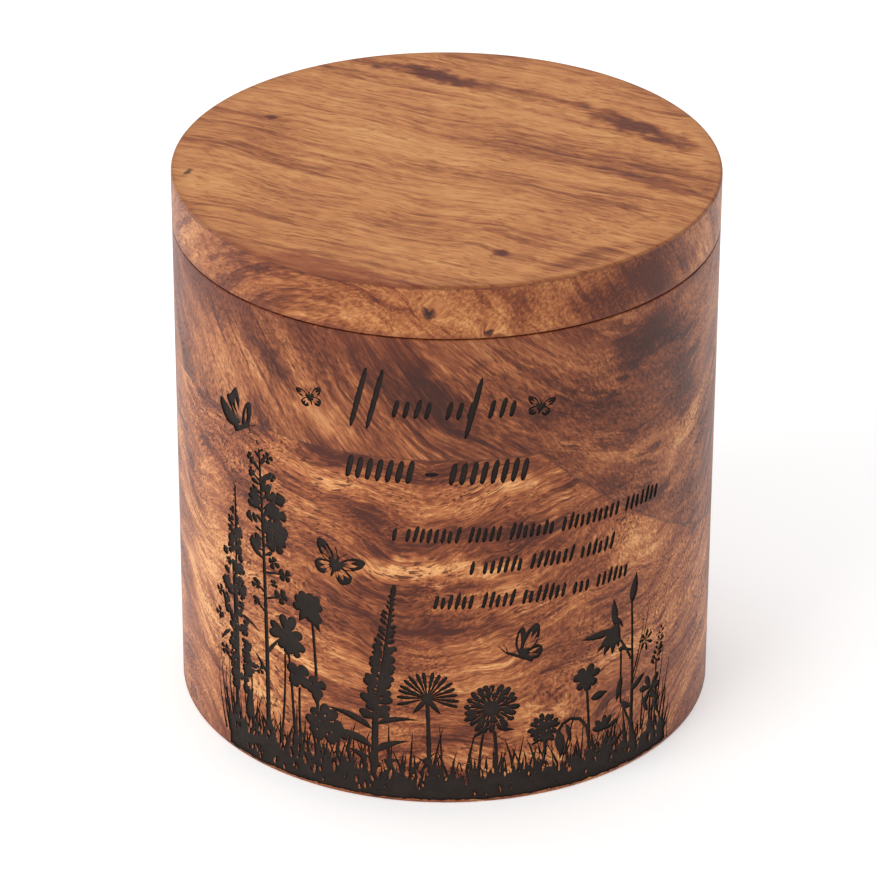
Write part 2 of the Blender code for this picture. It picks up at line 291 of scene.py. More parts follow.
@dataclass(frozen=True)
class Figure:
    """The scales of a board's figure, as waves for each millimetre along, across and through the layers.

    Attributes:
        bands: The broad bands of colour.
        lines: The growth lines.
        rings: The thin dark rings.
        fibres: The fibres.
        pores: The pores, short dashes along the grain.
        patches: The length of the uneven patches, in millimetres.
        crowding: The length of the places where pores crowd, in millimetres.
        places: Where along the tones each colour lies.
    """

    bands: Triple = (0.012, 0.032, 0.120)
    lines: Triple = (0.024, 0.13, 0.66)
    rings: Triple = (0.016, 0.08, 0.42)
    fibres: Triple = (0.25, 1.55, 1.55)
    pores: Triple = (0.26, 1.7, 1.7)
    patches: float = 26.0
    crowding: float = 15.0
    places: tuple[float, ...] = (0.24, 0.38, 0.50, 0.62, 0.78)


@dataclass(frozen=True)
class Board:
    """One board of wood, with the way its grain runs and its own colours.

    Attributes:
        grain: The direction of the fibres.
        layers: The direction across the growth layers.
        offset: Where in the tree the board comes from, in millimetres.
        tones: Colours from the darkest layer to the palest.
        wave: How far the grain wanders, in millimetres, over long and short stretches.
        contrast: How much the layers and patches differ.
        fibre_contrast: How much the fibres differ.
        fineness: How thin the fibres are, against those of the body.
        speckle: How dark the pores are.
        marks: The knots, smudges and bright patches in it, and any painted highlights on it.
        figure: The scales of its figure.
    """

    grain: Triple
    layers: Triple
    offset: Triple
    tones: tuple[Colour, Colour, Colour, Colour, Colour]
    wave: tuple[float, float] = (6.0, 1.1)
    contrast: float = 1.0
    fibre_contrast: float = 0.72
    fineness: float = 1.0
    speckle: float = 1.0
    marks: tuple[Mark, ...] = ()
    figure: Figure = Figure()

    def nodes(self, graph: WoodGraph, place: Socket) -> tuple[Socket, Socket, Socket]:
        """Add the board's nodes.

        Args:
            graph: The material's tree.
            place: The place on the object, in millimetres.

        Returns:
            The colour, the fibre pattern and the pores.
        """
        masks = [mark.mask(graph, place) for mark in self.marks]
        inside = self.inside(graph, place)
        fibres = graph.grained(
            inside, tuple(value * self.fineness for value in self.figure.fibres), 3.0, 0.72,
        )
        tone = self.tone(graph, place, inside, fibres, masks)
        colour = graph.ramp(tone, tuple(zip(self.figure.places, self.tones)))
        along, across, through = self.figure.pores
        dashes = graph.grained(inside, (along, across * self.fineness, through * self.fineness), 1.0)
        crowd = graph.between(graph.noise(place, 1 / self.figure.crowding, 1.0).outputs["Fac"], 0.36, 0.62)
        pores = graph.product(graph.between(dashes, 0.56, 0.65), graph.total([(crowd, 0.75)], 0.25))
        colour = graph.mix(graph.product(pores, 0.75 * self.speckle), colour, linear(self.tones[0]))
        for mark, mask in zip(self.marks, masks):
            if mark.stain:
                colour = graph.mix(graph.product(mask, mark.stain), colour, linear(mark.colour))
        return colour, fibres, pores

    def inside(self, graph: WoodGraph, place: Socket) -> Socket:
        """The place within the tree, bent with the grain and pushed by the marks.

        Args:
            graph: The material's tree.
            place: The place on the object, in millimetres.

        Returns:
            The place, with its first axis along the fibres and its third through the layers.
        """
        axes = axes_of(self.grain, self.layers)
        bent = graph.vector("ADD", place, graph.wander(place, 1 / 42, self.wave[0]))
        bent = graph.vector("ADD", bent, graph.wander(place, 1 / 10, self.wave[1]))
        for mark in self.marks:
            if mark.bulge:
                bent = graph.vector("ADD", bent, mark.push(graph, place, axes[2]))
        links = {"Vector": bent, "Location": self.offset, "Rotation": axes.to_euler()}
        return graph.node("ShaderNodeMapping", links).outputs[0]

    def tone(
        self, graph: WoodGraph, place: Socket, inside: Socket, fibres: Socket, masks: Sequence[Socket],
    ) -> Socket:
        """How dark or pale the wood is, from 0 to 1.

        Args:
            graph: The material's tree.
            place: The place on the object, in millimetres.
            inside: The place within the tree.
            fibres: The fibre pattern.
            masks: Where each mark lies.

        Returns:
            The tone, which the ramp of colours reads.
        """
        weights = [
            (graph.grained(inside, self.figure.bands, 3.0, 0.55), 0.85 * self.contrast),
            (graph.grained(inside, self.figure.lines, 4.0, 0.68), 0.62 * self.contrast),
            (graph.noise(place, 1 / self.figure.patches, 2.0).outputs["Fac"], 0.50 * self.contrast),
            (fibres, self.fibre_contrast),
        ]
        middle = sum(weight for _, weight in weights) / 2
        weights += [(mask, mark.shift) for mark, mask in zip(self.marks, masks) if mark.shift]
        rings = graph.grained(inside, self.figure.rings, 2.0, 0.6)
        weights.append((graph.between(rings, 0.575, 0.63), -0.17 * self.contrast))
        return graph.total(weights, 0.5 - middle)


@dataclass(frozen=True)
class WoodChange:
    """Where one stretch of wood gives way to the next, which begins past any of a few flats.

    Attributes:
        flats: The direction of each flat and its distance from the origin, in millimetres.
    """

    flats: tuple[tuple[Triple, float], ...]

    def past(self, graph: WoodGraph, place: Socket) -> Socket:
        """How far a place lies past the change.

        Args:
            graph: The material's tree.
            place: The place on the object, in millimetres.

        Returns:
            The distance in millimetres, below zero before the change.
        """
        furthest = None
        for direction, distance in self.flats:
            links = {0: place, 1: tuple(Vector(direction).normalized())}
            along = graph.node("ShaderNodeVectorMath", links, operation="DOT_PRODUCT").outputs["Value"]
            beyond = graph.math("SUBTRACT", along, distance)
            furthest = beyond if furthest is None else graph.math("MAXIMUM", furthest, beyond)
        return furthest


def new_material(name: str) -> tuple[Material, WoodGraph, Node]:
    """An empty material.

    Args:
        name: Its name.

    Returns:
        The material, its tree and its main shader.
    """
    made = bpy.data.materials.new(name)
    made.use_nodes = True
    return made, WoodGraph(made.node_tree), made.node_tree.nodes["Principled BSDF"]


@dataclass(frozen=True)
class OiledWood:
    """Satin oiled wood of one board, or of a few that meet.

    Attributes:
        name: The material's name.
        boards: The boards, from the lowest up.
        joints: Where each gives way to the next.
        sheen: How smooth the oil is, as the shader's roughness.
        gloss: How strongly the oil mirrors, as the shader's specular level.
        edge_and_shade_colour: The colour of the darker rims along the edges: painted shade at the foot and
            at the seam between lid and body, and a darker line along the lid's top edge.
        edge_and_shade_share: How much of it they have.
        line_colour: The colour of the thin line at each change.
        line_share: How much of it the line has.
        line_half: Half the width of that line, in millimetres.
    """

    name: str
    boards: tuple[Board, ...]
    joints: tuple[WoodChange, ...] = ()
    sheen: float = 0.42
    gloss: float = 0.3
    edge_and_shade_colour: Colour = (104, 42, 20)
    edge_and_shade_share: float = 0.55
    line_colour: Colour = (70, 34, 22)
    line_share: float = 0.45
    line_half: float = 0.40

    def material(self) -> Material:
        """Build the material.

        Returns:
            The material.
        """
        made, graph, shader = new_material(self.name)
        place = graph.place_in_mm()
        colour, fibres, pores = self.boards[0].nodes(graph, place)
        for joint, board in zip(self.joints, self.boards[1:]):
            next_colour, next_fibres, next_pores = board.nodes(graph, place)
            past = joint.past(graph, place)
            over = graph.between(past, -0.12, 0.12)
            fibres = graph.blend(over, fibres, next_fibres)
            pores = graph.blend(over, pores, next_pores)
            colour = graph.mix(over, colour, next_colour)
            line = graph.between(graph.math("ABSOLUTE", past), self.line_half, 0.05)
            colour = graph.mix(graph.product(line, self.line_share), colour, linear(self.line_colour))
        # Darker rims along the edges: painted shade at the foot and at the seam between lid and body, and a
        # darker line along the lid's top edge.
        darkened_edge = graph.node("ShaderNodeAttribute", attribute_name="edge").outputs["Fac"]
        colour = graph.mix(graph.product(darkened_edge, self.edge_and_shade_share), colour, linear(self.edge_and_shade_colour))
        smears = graph.noise(place, 1 / 14, 2.0).outputs["Fac"]
        rough = graph.total([(fibres, 0.16), (pores, 0.16), (smears, 0.10)], self.sheen - 0.13)
        relief = graph.total([(fibres, 0.55), (pores, -0.9)])
        graph.tree.links.new(colour, shader.inputs["Base Color"])
        graph.tree.links.new(rough, shader.inputs["Roughness"])
        graph.tree.links.new(graph.bump(relief, 0.30, 0.00012), shader.inputs["Normal"])
        shader.inputs["Specular IOR Level"].default_value = self.gloss
        return made


@dataclass(frozen=True)
class CharredWood:
    """Wood burned black by engraving, with a dry mottled surface.

    Attributes:
        name: The material's name.
        black: The colour of what is burned deepest.
        soot: The colour of most of it.
        brown: The colour of what is burned least.
        gloss: How strongly it mirrors, as the shader's specular level.
    """

    name: str = "charred_wood"
    black: Colour = (26, 19, 16)
    soot: Colour = (42, 33, 29)
    brown: Colour = (62, 44, 36)
    gloss: float = 0.25

    def material(self) -> Material:
        """Build the material.

        Returns:
            The material.
        """
        made, graph, shader = new_material(self.name)
        place = graph.place_in_mm()
        cloud = graph.noise(place, 1 / 3.5, 3.0, 0.6).outputs["Fac"]
        grit = graph.noise(place, 3.2, 3.0, 0.7).outputs["Fac"]
        tone = graph.total([(cloud, 0.7), (grit, 0.8)], -0.25)
        colour = graph.ramp(tone, ((0.25, self.black), (0.60, self.soot), (0.92, self.brown)))
        graph.tree.links.new(colour, shader.inputs["Base Color"])
        graph.tree.links.new(graph.total([(grit, 0.2)], 0.68), shader.inputs["Roughness"])
        graph.tree.links.new(graph.bump(grit, 0.55, 0.00015), shader.inputs["Normal"])
        shader.inputs["Specular IOR Level"].default_value = self.gloss
        return made


@dataclass(frozen=True)
class StudioPaper:
    """The pale matt floor.

    Attributes:
        name: The material's name.
        shade: How pale it is, from 0 to 1.
        glow: How much light it gives, so that it stays pale far from the lamps.
        roughness: How matt it is.
        gloss: How strongly it mirrors, as the shader's specular level.
    """

    name: str = "studio_paper"
    shade: float = 0.94
    glow: float = 0.26
    roughness: float = 0.9
    gloss: float = 0.1

    def material(self) -> Material:
        """Build the material.

        Returns:
            The material.
        """
        made, graph, shader = new_material(self.name)
        tooth = graph.noise(graph.place_in_mm(), 1.6, 3.0, 0.6).outputs["Fac"]
        graph.tree.links.new(graph.bump(tooth, 0.05, 0.0002), shader.inputs["Normal"])
        for label, value in (
            ("Base Color", (self.shade, self.shade, self.shade, 1.0)), ("Roughness", self.roughness),
            ("Specular IOR Level", self.gloss), ("Emission Color", (1.0, 1.0, 1.0, 1.0)),
            ("Emission Strength", self.glow),
        ):
            shader.inputs[label].default_value = value
        return made


class NodeShape(Graph):
    """A Geometry Nodes tree with named inputs, which is run once for each mesh wanted."""

    def __init__(self, name: str, sizes: dict[str, float | Triple], takes_mesh: bool = False) -> None:
        """Make the tree and its inputs.

        Args:
            name: The tree's name.
            sizes: The first value of each input, by the input's name. Its type sets the input's kind.
            takes_mesh: Whether the tree starts from the mesh of the object that it is run on.
        """
        super().__init__(bpy.data.node_groups.new(name, "GeometryNodeTree"))
        kinds = {int: "Int", float: "Float", tuple: "Vector"}
        interface = self.tree.interface
        interface.new_socket("Mesh", in_out="OUTPUT", socket_type="NodeSocketGeometry")
        if takes_mesh:
            interface.new_socket("Mesh", in_out="INPUT", socket_type="NodeSocketGeometry")
        self.sockets = {}
        for label, value in sizes.items():
            kind = f"NodeSocket{kinds[type(value)]}"
            socket = interface.new_socket(label, in_out="INPUT", socket_type=kind)
            socket.default_value = value
            self.sockets[label] = socket.identifier
        material = interface.new_socket("Material", in_out="INPUT", socket_type="NodeSocketMaterial")
        self.sockets["Material"] = material.identifier
        self.given = self.tree.nodes.new("NodeGroupInput").outputs

    def index(self) -> Socket:
        """The number of each point."""
        return self.node("GeometryNodeInputIndex").outputs[0]

    def position(self) -> Socket:
        """The place of each point."""
        return self.node("GeometryNodeInputPosition").outputs[0]

    def split(self, vector: Input) -> Sequence[Socket]:
        """The three numbers of a vector."""
        return self.node("ShaderNodeSeparateXYZ", {0: vector}).outputs

    def combine(self, x: Input = 0.0, y: Input = 0.0, z: Input = 0.0) -> Socket:
        """A vector from three numbers."""
        return self.node("ShaderNodeCombineXYZ", {0: x, 1: y, 2: z}).outputs[0]

    def random(self, low: float, high: float, seed: Input) -> Socket:
        """A random number for each point."""
        links = {2: low, 3: high, "Seed": seed}
        return self.node("FunctionNodeRandomValue", links, data_type="FLOAT").outputs[1]

    def stray(self, low: float, high: float, seed: Input) -> Socket:
        """A random number for each point, times how uneven the shape is."""
        return self.math("MULTIPLY", self.given["Uneven"], self.random(low, high, seed))

    def later(self, more: float) -> Socket:
        """A seed that follows the given one."""
        return self.math("ADD", self.given["Seed"], more)

    def line(self, count: Input) -> Socket:
        """As many points as wanted, all at the origin."""
        return self.node("GeometryNodeMeshLine", {"Count": count, "Offset": (0.0, 0.0, 0.0)}).outputs[0]

    def share(self, count: Input) -> Socket:
        """How far along its row each point is, from 0 to 1."""
        return self.math("DIVIDE", self.index(), self.math("SUBTRACT", count, 1.0))

    def moved(self, mesh: Socket, position: Socket) -> Socket:
        """The mesh with its points at other places."""
        return self.node("GeometryNodeSetPosition", {"Geometry": mesh, "Position": position}).outputs[0]

    def noted(self, mesh: Socket, name: str, value: Socket) -> Socket:
        """The mesh with a number stored on each point."""
        links = {"Geometry": mesh, "Name": name, "Value": value}
        return self.node(
            "GeometryNodeStoreNamedAttribute", links, data_type="FLOAT", domain="POINT",
        ).outputs[0]

    def note(self, name: str) -> Socket:
        """A number that is stored on each point."""
        return self.node("GeometryNodeInputNamedAttribute", {"Name": name}, data_type="FLOAT").outputs[0]

    def set_on(self, points: Socket, shape: Socket, scale: Socket, turn: Input = 0.0) -> Socket:
        """A flat shape set on every point, scaled and turned in its plane."""
        links = {
            "Points": points, "Instance": shape, "Rotation": self.combine(0.0, 0.0, turn), "Scale": scale,
        }
        return self.node("GeometryNodeInstanceOnPoints", links).outputs[0]

    def disc(self, points: int) -> Socket:
        """A flat disc of radius one."""
        return self.node(
            "GeometryNodeMeshCircle", {"Vertices": points, "Radius": 1.0}, fill_type="NGON",
        ).outputs[0]

    def petal(self, points: int, blunt: float | Socket) -> Socket:
        """A flat petal of length and width one, from the origin along X.

        Args:
            points: How many points its outline has.
            blunt: How far out it is widest. Its base is narrow where this is large.

        Returns:
            The petal's mesh.
        """
        place = self.split(self.position())
        along = self.total([(place[0], 0.5)], 0.5)
        swell = self.math("POWER", along, blunt)
        across = self.product(place[1], 0.5, self.total([(swell, 0.93)], 0.22))
        return self.moved(self.disc(points), self.combine(along, across))

    def end(self, geometry: Socket) -> None:
        """Finish the tree: instances made real, and the material set.

        Args:
            geometry: What the tree has made.
        """
        real = self.node("GeometryNodeRealizeInstances", {0: geometry}).outputs[0]
        links = {"Geometry": real, "Material": self.given["Material"]}
        dressed = self.node("GeometryNodeSetMaterial", links).outputs[0]
        self.node("NodeGroupOutput", {0: dressed})

    def run(
        self, name: str, material: Material, start: Mesh | None = None, **sizes: float | Triple,
    ) -> Mesh:
        """Run the tree.

        Args:
            name: The name of the mesh.
            material: The material that the tree sets.
            start: The mesh that the tree starts from.
            **sizes: A value for each named input, with spaces written as underscores.

        Returns:
            The plain mesh.
        """
        holder = bpy.data.objects.new(name, start or bpy.data.meshes.new(name))
        bpy.context.scene.collection.objects.link(holder)
        modifier = holder.modifiers.new(name, "NODES")
        modifier.node_group = self.tree
        modifier[self.sockets["Material"]] = material
        for label, value in sizes.items():
            modifier[self.sockets[label.replace("_", " ")]] = value
        graph = bpy.context.evaluated_depsgraph_get()
        made = bpy.data.meshes.new_from_object(holder.evaluated_get(graph), depsgraph=graph)
        bpy.data.objects.remove(holder)
        return made


def turning_shape() -> NodeShape:
    """The tree that turns a profile of (radius, height) round the Z axis, as a lathe does.

    Returns:
        The tree.
    """
    sizes = {"Steps": ROUND_STEPS, "Profile Points": 2, "Close Distance": 0.0000005}
    shape = NodeShape("turning", sizes, takes_mesh=True)
    steps, count = shape.given["Steps"], shape.given["Profile Points"]
    links = {"Vertices X": shape.math("ADD", steps, 1.0), "Vertices Y": count}
    grid = shape.node("GeometryNodeMeshGrid", links).outputs[0]
    index = shape.index()
    step = shape.math("FLOOR", shape.math("DIVIDE", shape.math("ADD", index, 0.5), count))
    row = shape.math("SUBTRACT", index, shape.math("MULTIPLY", step, count))
    links = {"Geometry": shape.given["Mesh"], 1: shape.position(), "Index": row}
    profile = shape.node("GeometryNodeSampleIndex", links, data_type="FLOAT_VECTOR").outputs[0]
    radius, _, height = shape.split(profile)
    angle = shape.math("DIVIDE", shape.math("MULTIPLY", step, 2 * math.pi), steps)
    x = shape.math("MULTIPLY", radius, shape.math("SINE", angle))
    y = shape.math("MULTIPLY", radius, shape.math("MULTIPLY", shape.math("COSINE", angle), -1.0))
    links = {
        "Geometry": shape.moved(grid, shape.combine(x, y, height)),
        "Distance": shape.given["Close Distance"],
    }
    shape.end(shape.node("GeometryNodeMergeByDistance", links).outputs[0])
    return shape


def ring_shape() -> NodeShape:
    """The tree that sets petals or spokes round a middle, such as a daisy's or an umbel's.

    Returns:
        The tree.
    """
    shape = NodeShape("petal_ring", {
        "Petals": 5, "Radius": 5.0, "Width": 2.0, "Turn": 0.0, "Sweep": 2 * math.pi, "Uneven": 0.1,
        "Blunt": 1.0, "Seed": 1,
    })
    given = shape.given
    even = shape.math("DIVIDE", shape.math("MULTIPLY", shape.index(), given["Sweep"]), given["Petals"])
    angle = shape.math("ADD", shape.math("ADD", even, given["Turn"]), shape.stray(-1.0, 1.0, given["Seed"]))
    length = shape.product(
        given["Radius"], shape.math("ADD", 1.0, shape.stray(-1.2, 0.6, shape.later(7.0))),
    )
    size = shape.combine(length, given["Width"], 1.0)
    shape.end(shape.set_on(shape.line(given["Petals"]), shape.petal(14, given["Blunt"]), size, angle))
    return shape


def spike_shape() -> NodeShape:
    """The tree that sets florets along a flowering spike, to both sides, smaller towards its tip.

    Returns:
        The tree.
    """
    shape = NodeShape("flower_spike", {
        "Florets": 40, "Foot": (0.0, 0.0, 0.0), "Head": (0.0, 50.0, 0.0), "Half Width": 6.0,
        "Floret Width": 0.5, "Tip Share": 0.2, "Open": 1.2, "Uneven": 0.25, "Seed": 1,
    })
    given, seed = shape.given, shape.given["Seed"]
    share = shape.share(given["Florets"])
    step = shape.vector("SUBTRACT", given["Head"], given["Foot"])
    middle = shape.vector("ADD", given["Foot"], shape.scaled(step, share))
    points = shape.moved(shape.line(given["Florets"]), middle)
    side = shape.math("SUBTRACT", shape.product(shape.math("MODULO", shape.index(), 2.0), 2.0), 1.0)
    opening = shape.product(given["Open"], shape.total([(share, -0.45)], 1.0))
    tilt = shape.product(side, shape.math("ADD", opening, shape.stray(-1.2, 1.2, seed)))
    across, along, _ = shape.split(step)
    lean = shape.math("ARCTAN2", along, across)
    falling = shape.product(
        shape.math("SUBTRACT", given["Tip Share"], 1.0), shape.math("POWER", share, 1.5),
    )
    size = shape.product(given["Half Width"], shape.math("ADD", 1.0, falling))
    size = shape.product(size, shape.math("ADD", 1.0, shape.stray(-1.4, 0.8, shape.later(5.0))))
    scale = shape.combine(size, shape.product(size, given["Floret Width"]), 1.0)
    shape.end(shape.set_on(points, shape.petal(10, 0.8), scale, shape.math("SUBTRACT", lean, tilt)))
    return shape


def grass_shape() -> NodeShape:
    """The tree that stands blades of grass in a row, of uneven height, lean and bend.

    Returns:
        The tree.
    """
    shape = NodeShape("grass_row", {
        "Blades": 100, "Left": -50.0, "Right": 50.0, "Foot": 1.0, "Height": 9.0, "Uneven": 0.5,
        "Blade Width": 1.0, "Lean": 0.3, "Seed": 1,
    })
    given, seed = shape.given, shape.given["Seed"]
    links = {"Size X": 1.0, "Size Y": 1.0, "Vertices X": 2, "Vertices Y": 7}
    blade = shape.node("GeometryNodeMeshGrid", links).outputs[0]
    place = shape.split(shape.position())
    rise = shape.total([(place[1], 1.0)], 0.5)
    taper = shape.math("POWER", shape.math("SUBTRACT", 1.02, rise), 0.62)
    blade = shape.moved(blade, shape.combine(shape.product(place[0], taper), rise))
    blade = shape.noted(blade, "rise", shape.split(shape.position())[1])
    width = shape.math("SUBTRACT", given["Right"], given["Left"])
    x = shape.math("ADD", given["Left"], shape.product(width, shape.share(given["Blades"])))
    x = shape.math("ADD", x, shape.random(-0.7, 0.7, shape.later(3.0)))
    points = shape.moved(shape.line(given["Blades"]), shape.combine(x, given["Foot"]))
    points = shape.noted(points, "bend", shape.random(-1.0, 1.0, seed))
    height = shape.product(
        given["Height"], shape.math("ADD", 1.0, shape.stray(-1.0, 1.0, shape.later(9.0))),
    )
    thick = shape.product(given["Blade Width"], shape.random(0.6, 1.3, shape.later(4.0)))
    stood = shape.set_on(points, blade, shape.combine(thick, height, 1.0))
    real = shape.node("GeometryNodeRealizeInstances", {0: stood}).outputs[0]
    curl = shape.product(shape.math("POWER", shape.note("rise"), 1.7), given["Height"])
    shift = shape.combine(shape.product(shape.note("bend"), given["Lean"], curl))
    shape.end(shape.node("GeometryNodeSetPosition", {"Geometry": real, "Offset": shift}).outputs[0])
    return shape


def stroke_shape() -> NodeShape:
    """The tree that sets plain leaning strokes in a row, which taper at both ends.

    Returns:
        The tree.
    """
    shape = NodeShape("stroke_row", {
        "Strokes": 5, "Left": 0.0, "Foot": 0.0, "Pitch": 2.0, "Height": 4.0, "Width": 0.6, "Lean": 0.2,
        "Uneven": 0.1, "Seed": 1,
    })
    given = shape.given
    x = shape.math("ADD", given["Left"], shape.product(shape.index(), given["Pitch"]))
    points = shape.moved(shape.line(given["Strokes"]), shape.combine(x, given["Foot"]))
    stray = shape.stray(-1.0, 1.0, given["Seed"])
    height = shape.product(given["Height"], shape.math("ADD", 1.0, stray))
    tilt = shape.math("ADD", given["Lean"], shape.product(stray, 0.25))
    place = shape.split(shape.position())
    swell = shape.math("POWER", shape.math("ABSOLUTE", place[1]), 0.55)
    squared = shape.product(shape.math("SIGN", place[1]), swell)
    outline = shape.combine(shape.total([(place[0], 0.5)]), shape.total([(squared, 0.5)], 0.5))
    scale = shape.combine(given["Width"], height, 1.0)
    shape.end(shape.set_on(points, shape.moved(shape.disc(16), outline), scale, shape.product(tilt, -1.0)))
    return shape


class Ink(Enum):
    """What an outline does to the wall that it covers."""

    BURNED = 1
    CLEAR = 0


def smooth(points: Sequence[Point], per_span: int = 5) -> list[Point]:
    """A closed smooth curve through a few points.

    Args:
        points: The points, in order round the shape.
        per_span: How many points the curve has from one of them to the next.

    Returns:
        The points of the curve.
    """
    shape = np.array(points, float)
    before, after, last = (np.roll(shape, shift, axis=0) for shift in (1, -1, -2))
    curve = []
    for t in np.arange(per_span) / per_span:
        pull = (after - before) * t + (2 * before - 5 * shape + 4 * after - last) * t ** 2
        curve.append(shape + 0.5 * (pull + (3 * shape - before - 3 * after + last) * t ** 3))
    return [tuple(point) for point in np.stack(curve, axis=1).reshape(-1, 2)]


def placed(points: Iterable[Point], at: Point, turn: float = 0.0, size: float = 1.0) -> list[Point]:
    """Points scaled by a size, turned by an angle in degrees and moved."""
    cos, sin = size * math.cos(math.radians(turn)), size * math.sin(math.radians(turn))
    return [(at[0] + u * cos - v * sin, at[1] + u * sin + v * cos) for u, v in points]


def oval(at: Point, length: float, width: float, turn: float = 0.0, points: int = 18) -> list[Point]:
    """An oval round a point."""
    turns = np.arange(points) * 2 * math.pi / points
    return placed(zip(length / 2 * np.cos(turns), width / 2 * np.sin(turns)), at, turn)


def leaf(at: Point, length: float, width: float, turn: float, droop: float = 0.0) -> list[Point]:
    """A leaf pointed at both ends.

    Args:
        at: Its foot.
        length: Its length.
        width: Its width.
        turn: Its direction, in degrees.
        droop: How far its tip droops, as a share of its length.

    Returns:
        Its outline.
    """
    shares = np.linspace(0.0, 1.0, 9)
    half = width / 2 * np.sin(np.pi * shares ** 0.8) ** 0.9
    middle = -droop * length * shares ** 2
    lower = list(zip(length * shares, middle - half))
    upper = list(zip(length * shares, middle + half))
    return placed(lower + upper[-2:0:-1], at, turn)


def stem(
    foot: Point, head: Point, bow: float = 0.6, wide: float = 0.9, narrow: float = 0.55,
) -> list[Point]:
    """A stem that bows to the right and thins towards its head.

    Args:
        foot: Where it starts.
        head: Where it ends.
        bow: How far its middle bows out.
        wide: Its width at the foot.
        narrow: Its width at the head.

    Returns:
        Its outline.
    """
    shares = np.linspace(0.0, 1.0, 10)
    x = foot[0] + (head[0] - foot[0]) * shares + bow * 4 * shares * (1 - shares)
    z = foot[1] + (head[1] - foot[1]) * shares
    across = np.stack([np.gradient(z), -np.gradient(x)])
    across = across / np.linalg.norm(across, axis=0) * (wide + (narrow - wide) * shares) / 2
    right = list(zip(x + across[0], z + across[1]))
    left = list(zip(x - across[0], z - across[1]))
    return right + left[::-1]


@dataclass
class Drawing:
    """Flat outlines laid over each other. The last one that covers a place decides whether it is burned.

    Attributes:
        seed: The seed of the small unevenness along every outline.
        uneven: How far the laser strays from a drawn line, in millimetres.
        stretch: The longest straight stretch of an outline, in millimetres.
        outlines: The outlines, from the lowest up.
        inks: What each of them does.
    """

    seed: int = 11
    uneven: float = 0.055
    stretch: float = 0.7
    outlines: list[np.ndarray] = field(default_factory=list)
    inks: list[Ink] = field(default_factory=list)

    def __post_init__(self) -> None:
        """Start the random draws."""
        self.draws = np.random.default_rng(self.seed)

    def add(self, *outlines: Sequence[Point], ink: Ink = Ink.BURNED) -> None:
        """Lay outlines over what is there.

        Args:
            *outlines: The outlines, each as its points in order.
            ink: What they do.
        """
        for outline in outlines:
            self.outlines.append(self.roughened(np.array(outline, float)))
            self.inks.append(ink)

    def add_mesh(self, mesh: Mesh, at: Point = (0.0, 0.0), ink: Ink = Ink.BURNED) -> None:
        """Lay every face of a flat mesh over what is there, and remove the mesh.

        Args:
            mesh: The mesh, in millimetres.
            at: Where its origin comes to lie.
            ink: What its faces do.
        """
        for face in mesh.polygons:
            corners = [mesh.vertices[i].co for i in face.vertices]
            self.add([(at[0] + corner.x, at[1] + corner.y) for corner in corners], ink=ink)
        bpy.data.meshes.remove(mesh)

    def roughened(self, outline: np.ndarray) -> np.ndarray:
        """The outline in short stretches, each point a little off its line.

        Args:
            outline: The points of the outline.

        Returns:
            The points of the rougher one.
        """
        points = []
        for start, end in zip(outline, np.roll(outline, -1, axis=0)):
            lengths = max(1, math.ceil(np.linalg.norm(end - start) / self.stretch))
            points += [start + (end - start) * i / lengths for i in range(lengths)]
        rough = np.array(points)
        return rough + self.draws.uniform(-self.uneven, self.uneven, rough.shape)

    def burned(self, places: np.ndarray) -> np.ndarray:
        """Whether each place is burned, by the last outline that goes round it.

        Args:
            places: The places.

        Returns:
            A truth value for each of them.
        """
        state = np.zeros(len(places), bool)
        for outline, ink in zip(self.outlines, self.inks):
            low, high = outline.min(axis=0), outline.max(axis=0)
            near = np.flatnonzero(((places > low) & (places < high)).all(axis=1))
            if not len(near):
                continue
            x, y = places[near, 0][:, None], places[near, 1][:, None]
            start, end = outline, np.roll(outline, -1, axis=0)
            side = (
                end[:, 0] - start[:, 0]
            ) * (y - start[:, 1]) - (end[:, 1] - start[:, 1]) * (x - start[:, 0])
            rising = (start[:, 1] <= y) & (end[:, 1] > y) & (side > 0)
            falling = (start[:, 1] > y) & (end[:, 1] <= y) & (side < 0)
            inside = rising.sum(axis=1) != falling.sum(axis=1)
            state[near[inside]] = bool(ink.value)
        return state


def triangulated(
    points: np.ndarray, edges: Sequence[Pair],
) -> tuple[np.ndarray, np.ndarray, Sequence[Pair], Sequence[Sequence[int]]]:
    """A flat mesh of triangles that keeps every edge.

    Args:
        points: The points, in millimetres.
        edges: Pairs of their numbers. Edges may cross.

    Returns:
        The places, the triangles, each of the mesh's edges, and the given edges that it lies on.
    """
    snap = 0.002
    result = delaunay_2d_cdt([Vector(point) for point in points], edges, [], 0, snap)
    return np.array([tuple(place) for place in result[0]]), np.array(result[2]), result[1], result[4]


def directed_sides(triangles: np.ndarray) -> np.ndarray:
    """The three sides of every triangle, each in the direction in which the triangle runs."""
    return np.concatenate([triangles[:, [0, 1]], triangles[:, [1, 2]], triangles[:, [2, 0]]])


def rim_sides(triangles: np.ndarray) -> list[Pair]:
    """The sides that only one of the triangles has.

    Args:
        triangles: The three corners of each triangle.

    Returns:
        The sides, each from its first corner to its second.
    """
    sides = [tuple(side) for side in directed_sides(triangles).tolist()]
    known = set(sides)
    return [(a, b) for a, b in sides if (b, a) not in known]


class Zone(Enum):
    """The kinds of face that the body is made of."""

    SMOOTH_WALL = 0
    PIT_FLOOR = 1
    PIT_SIDE = 2
    TURNED = 3


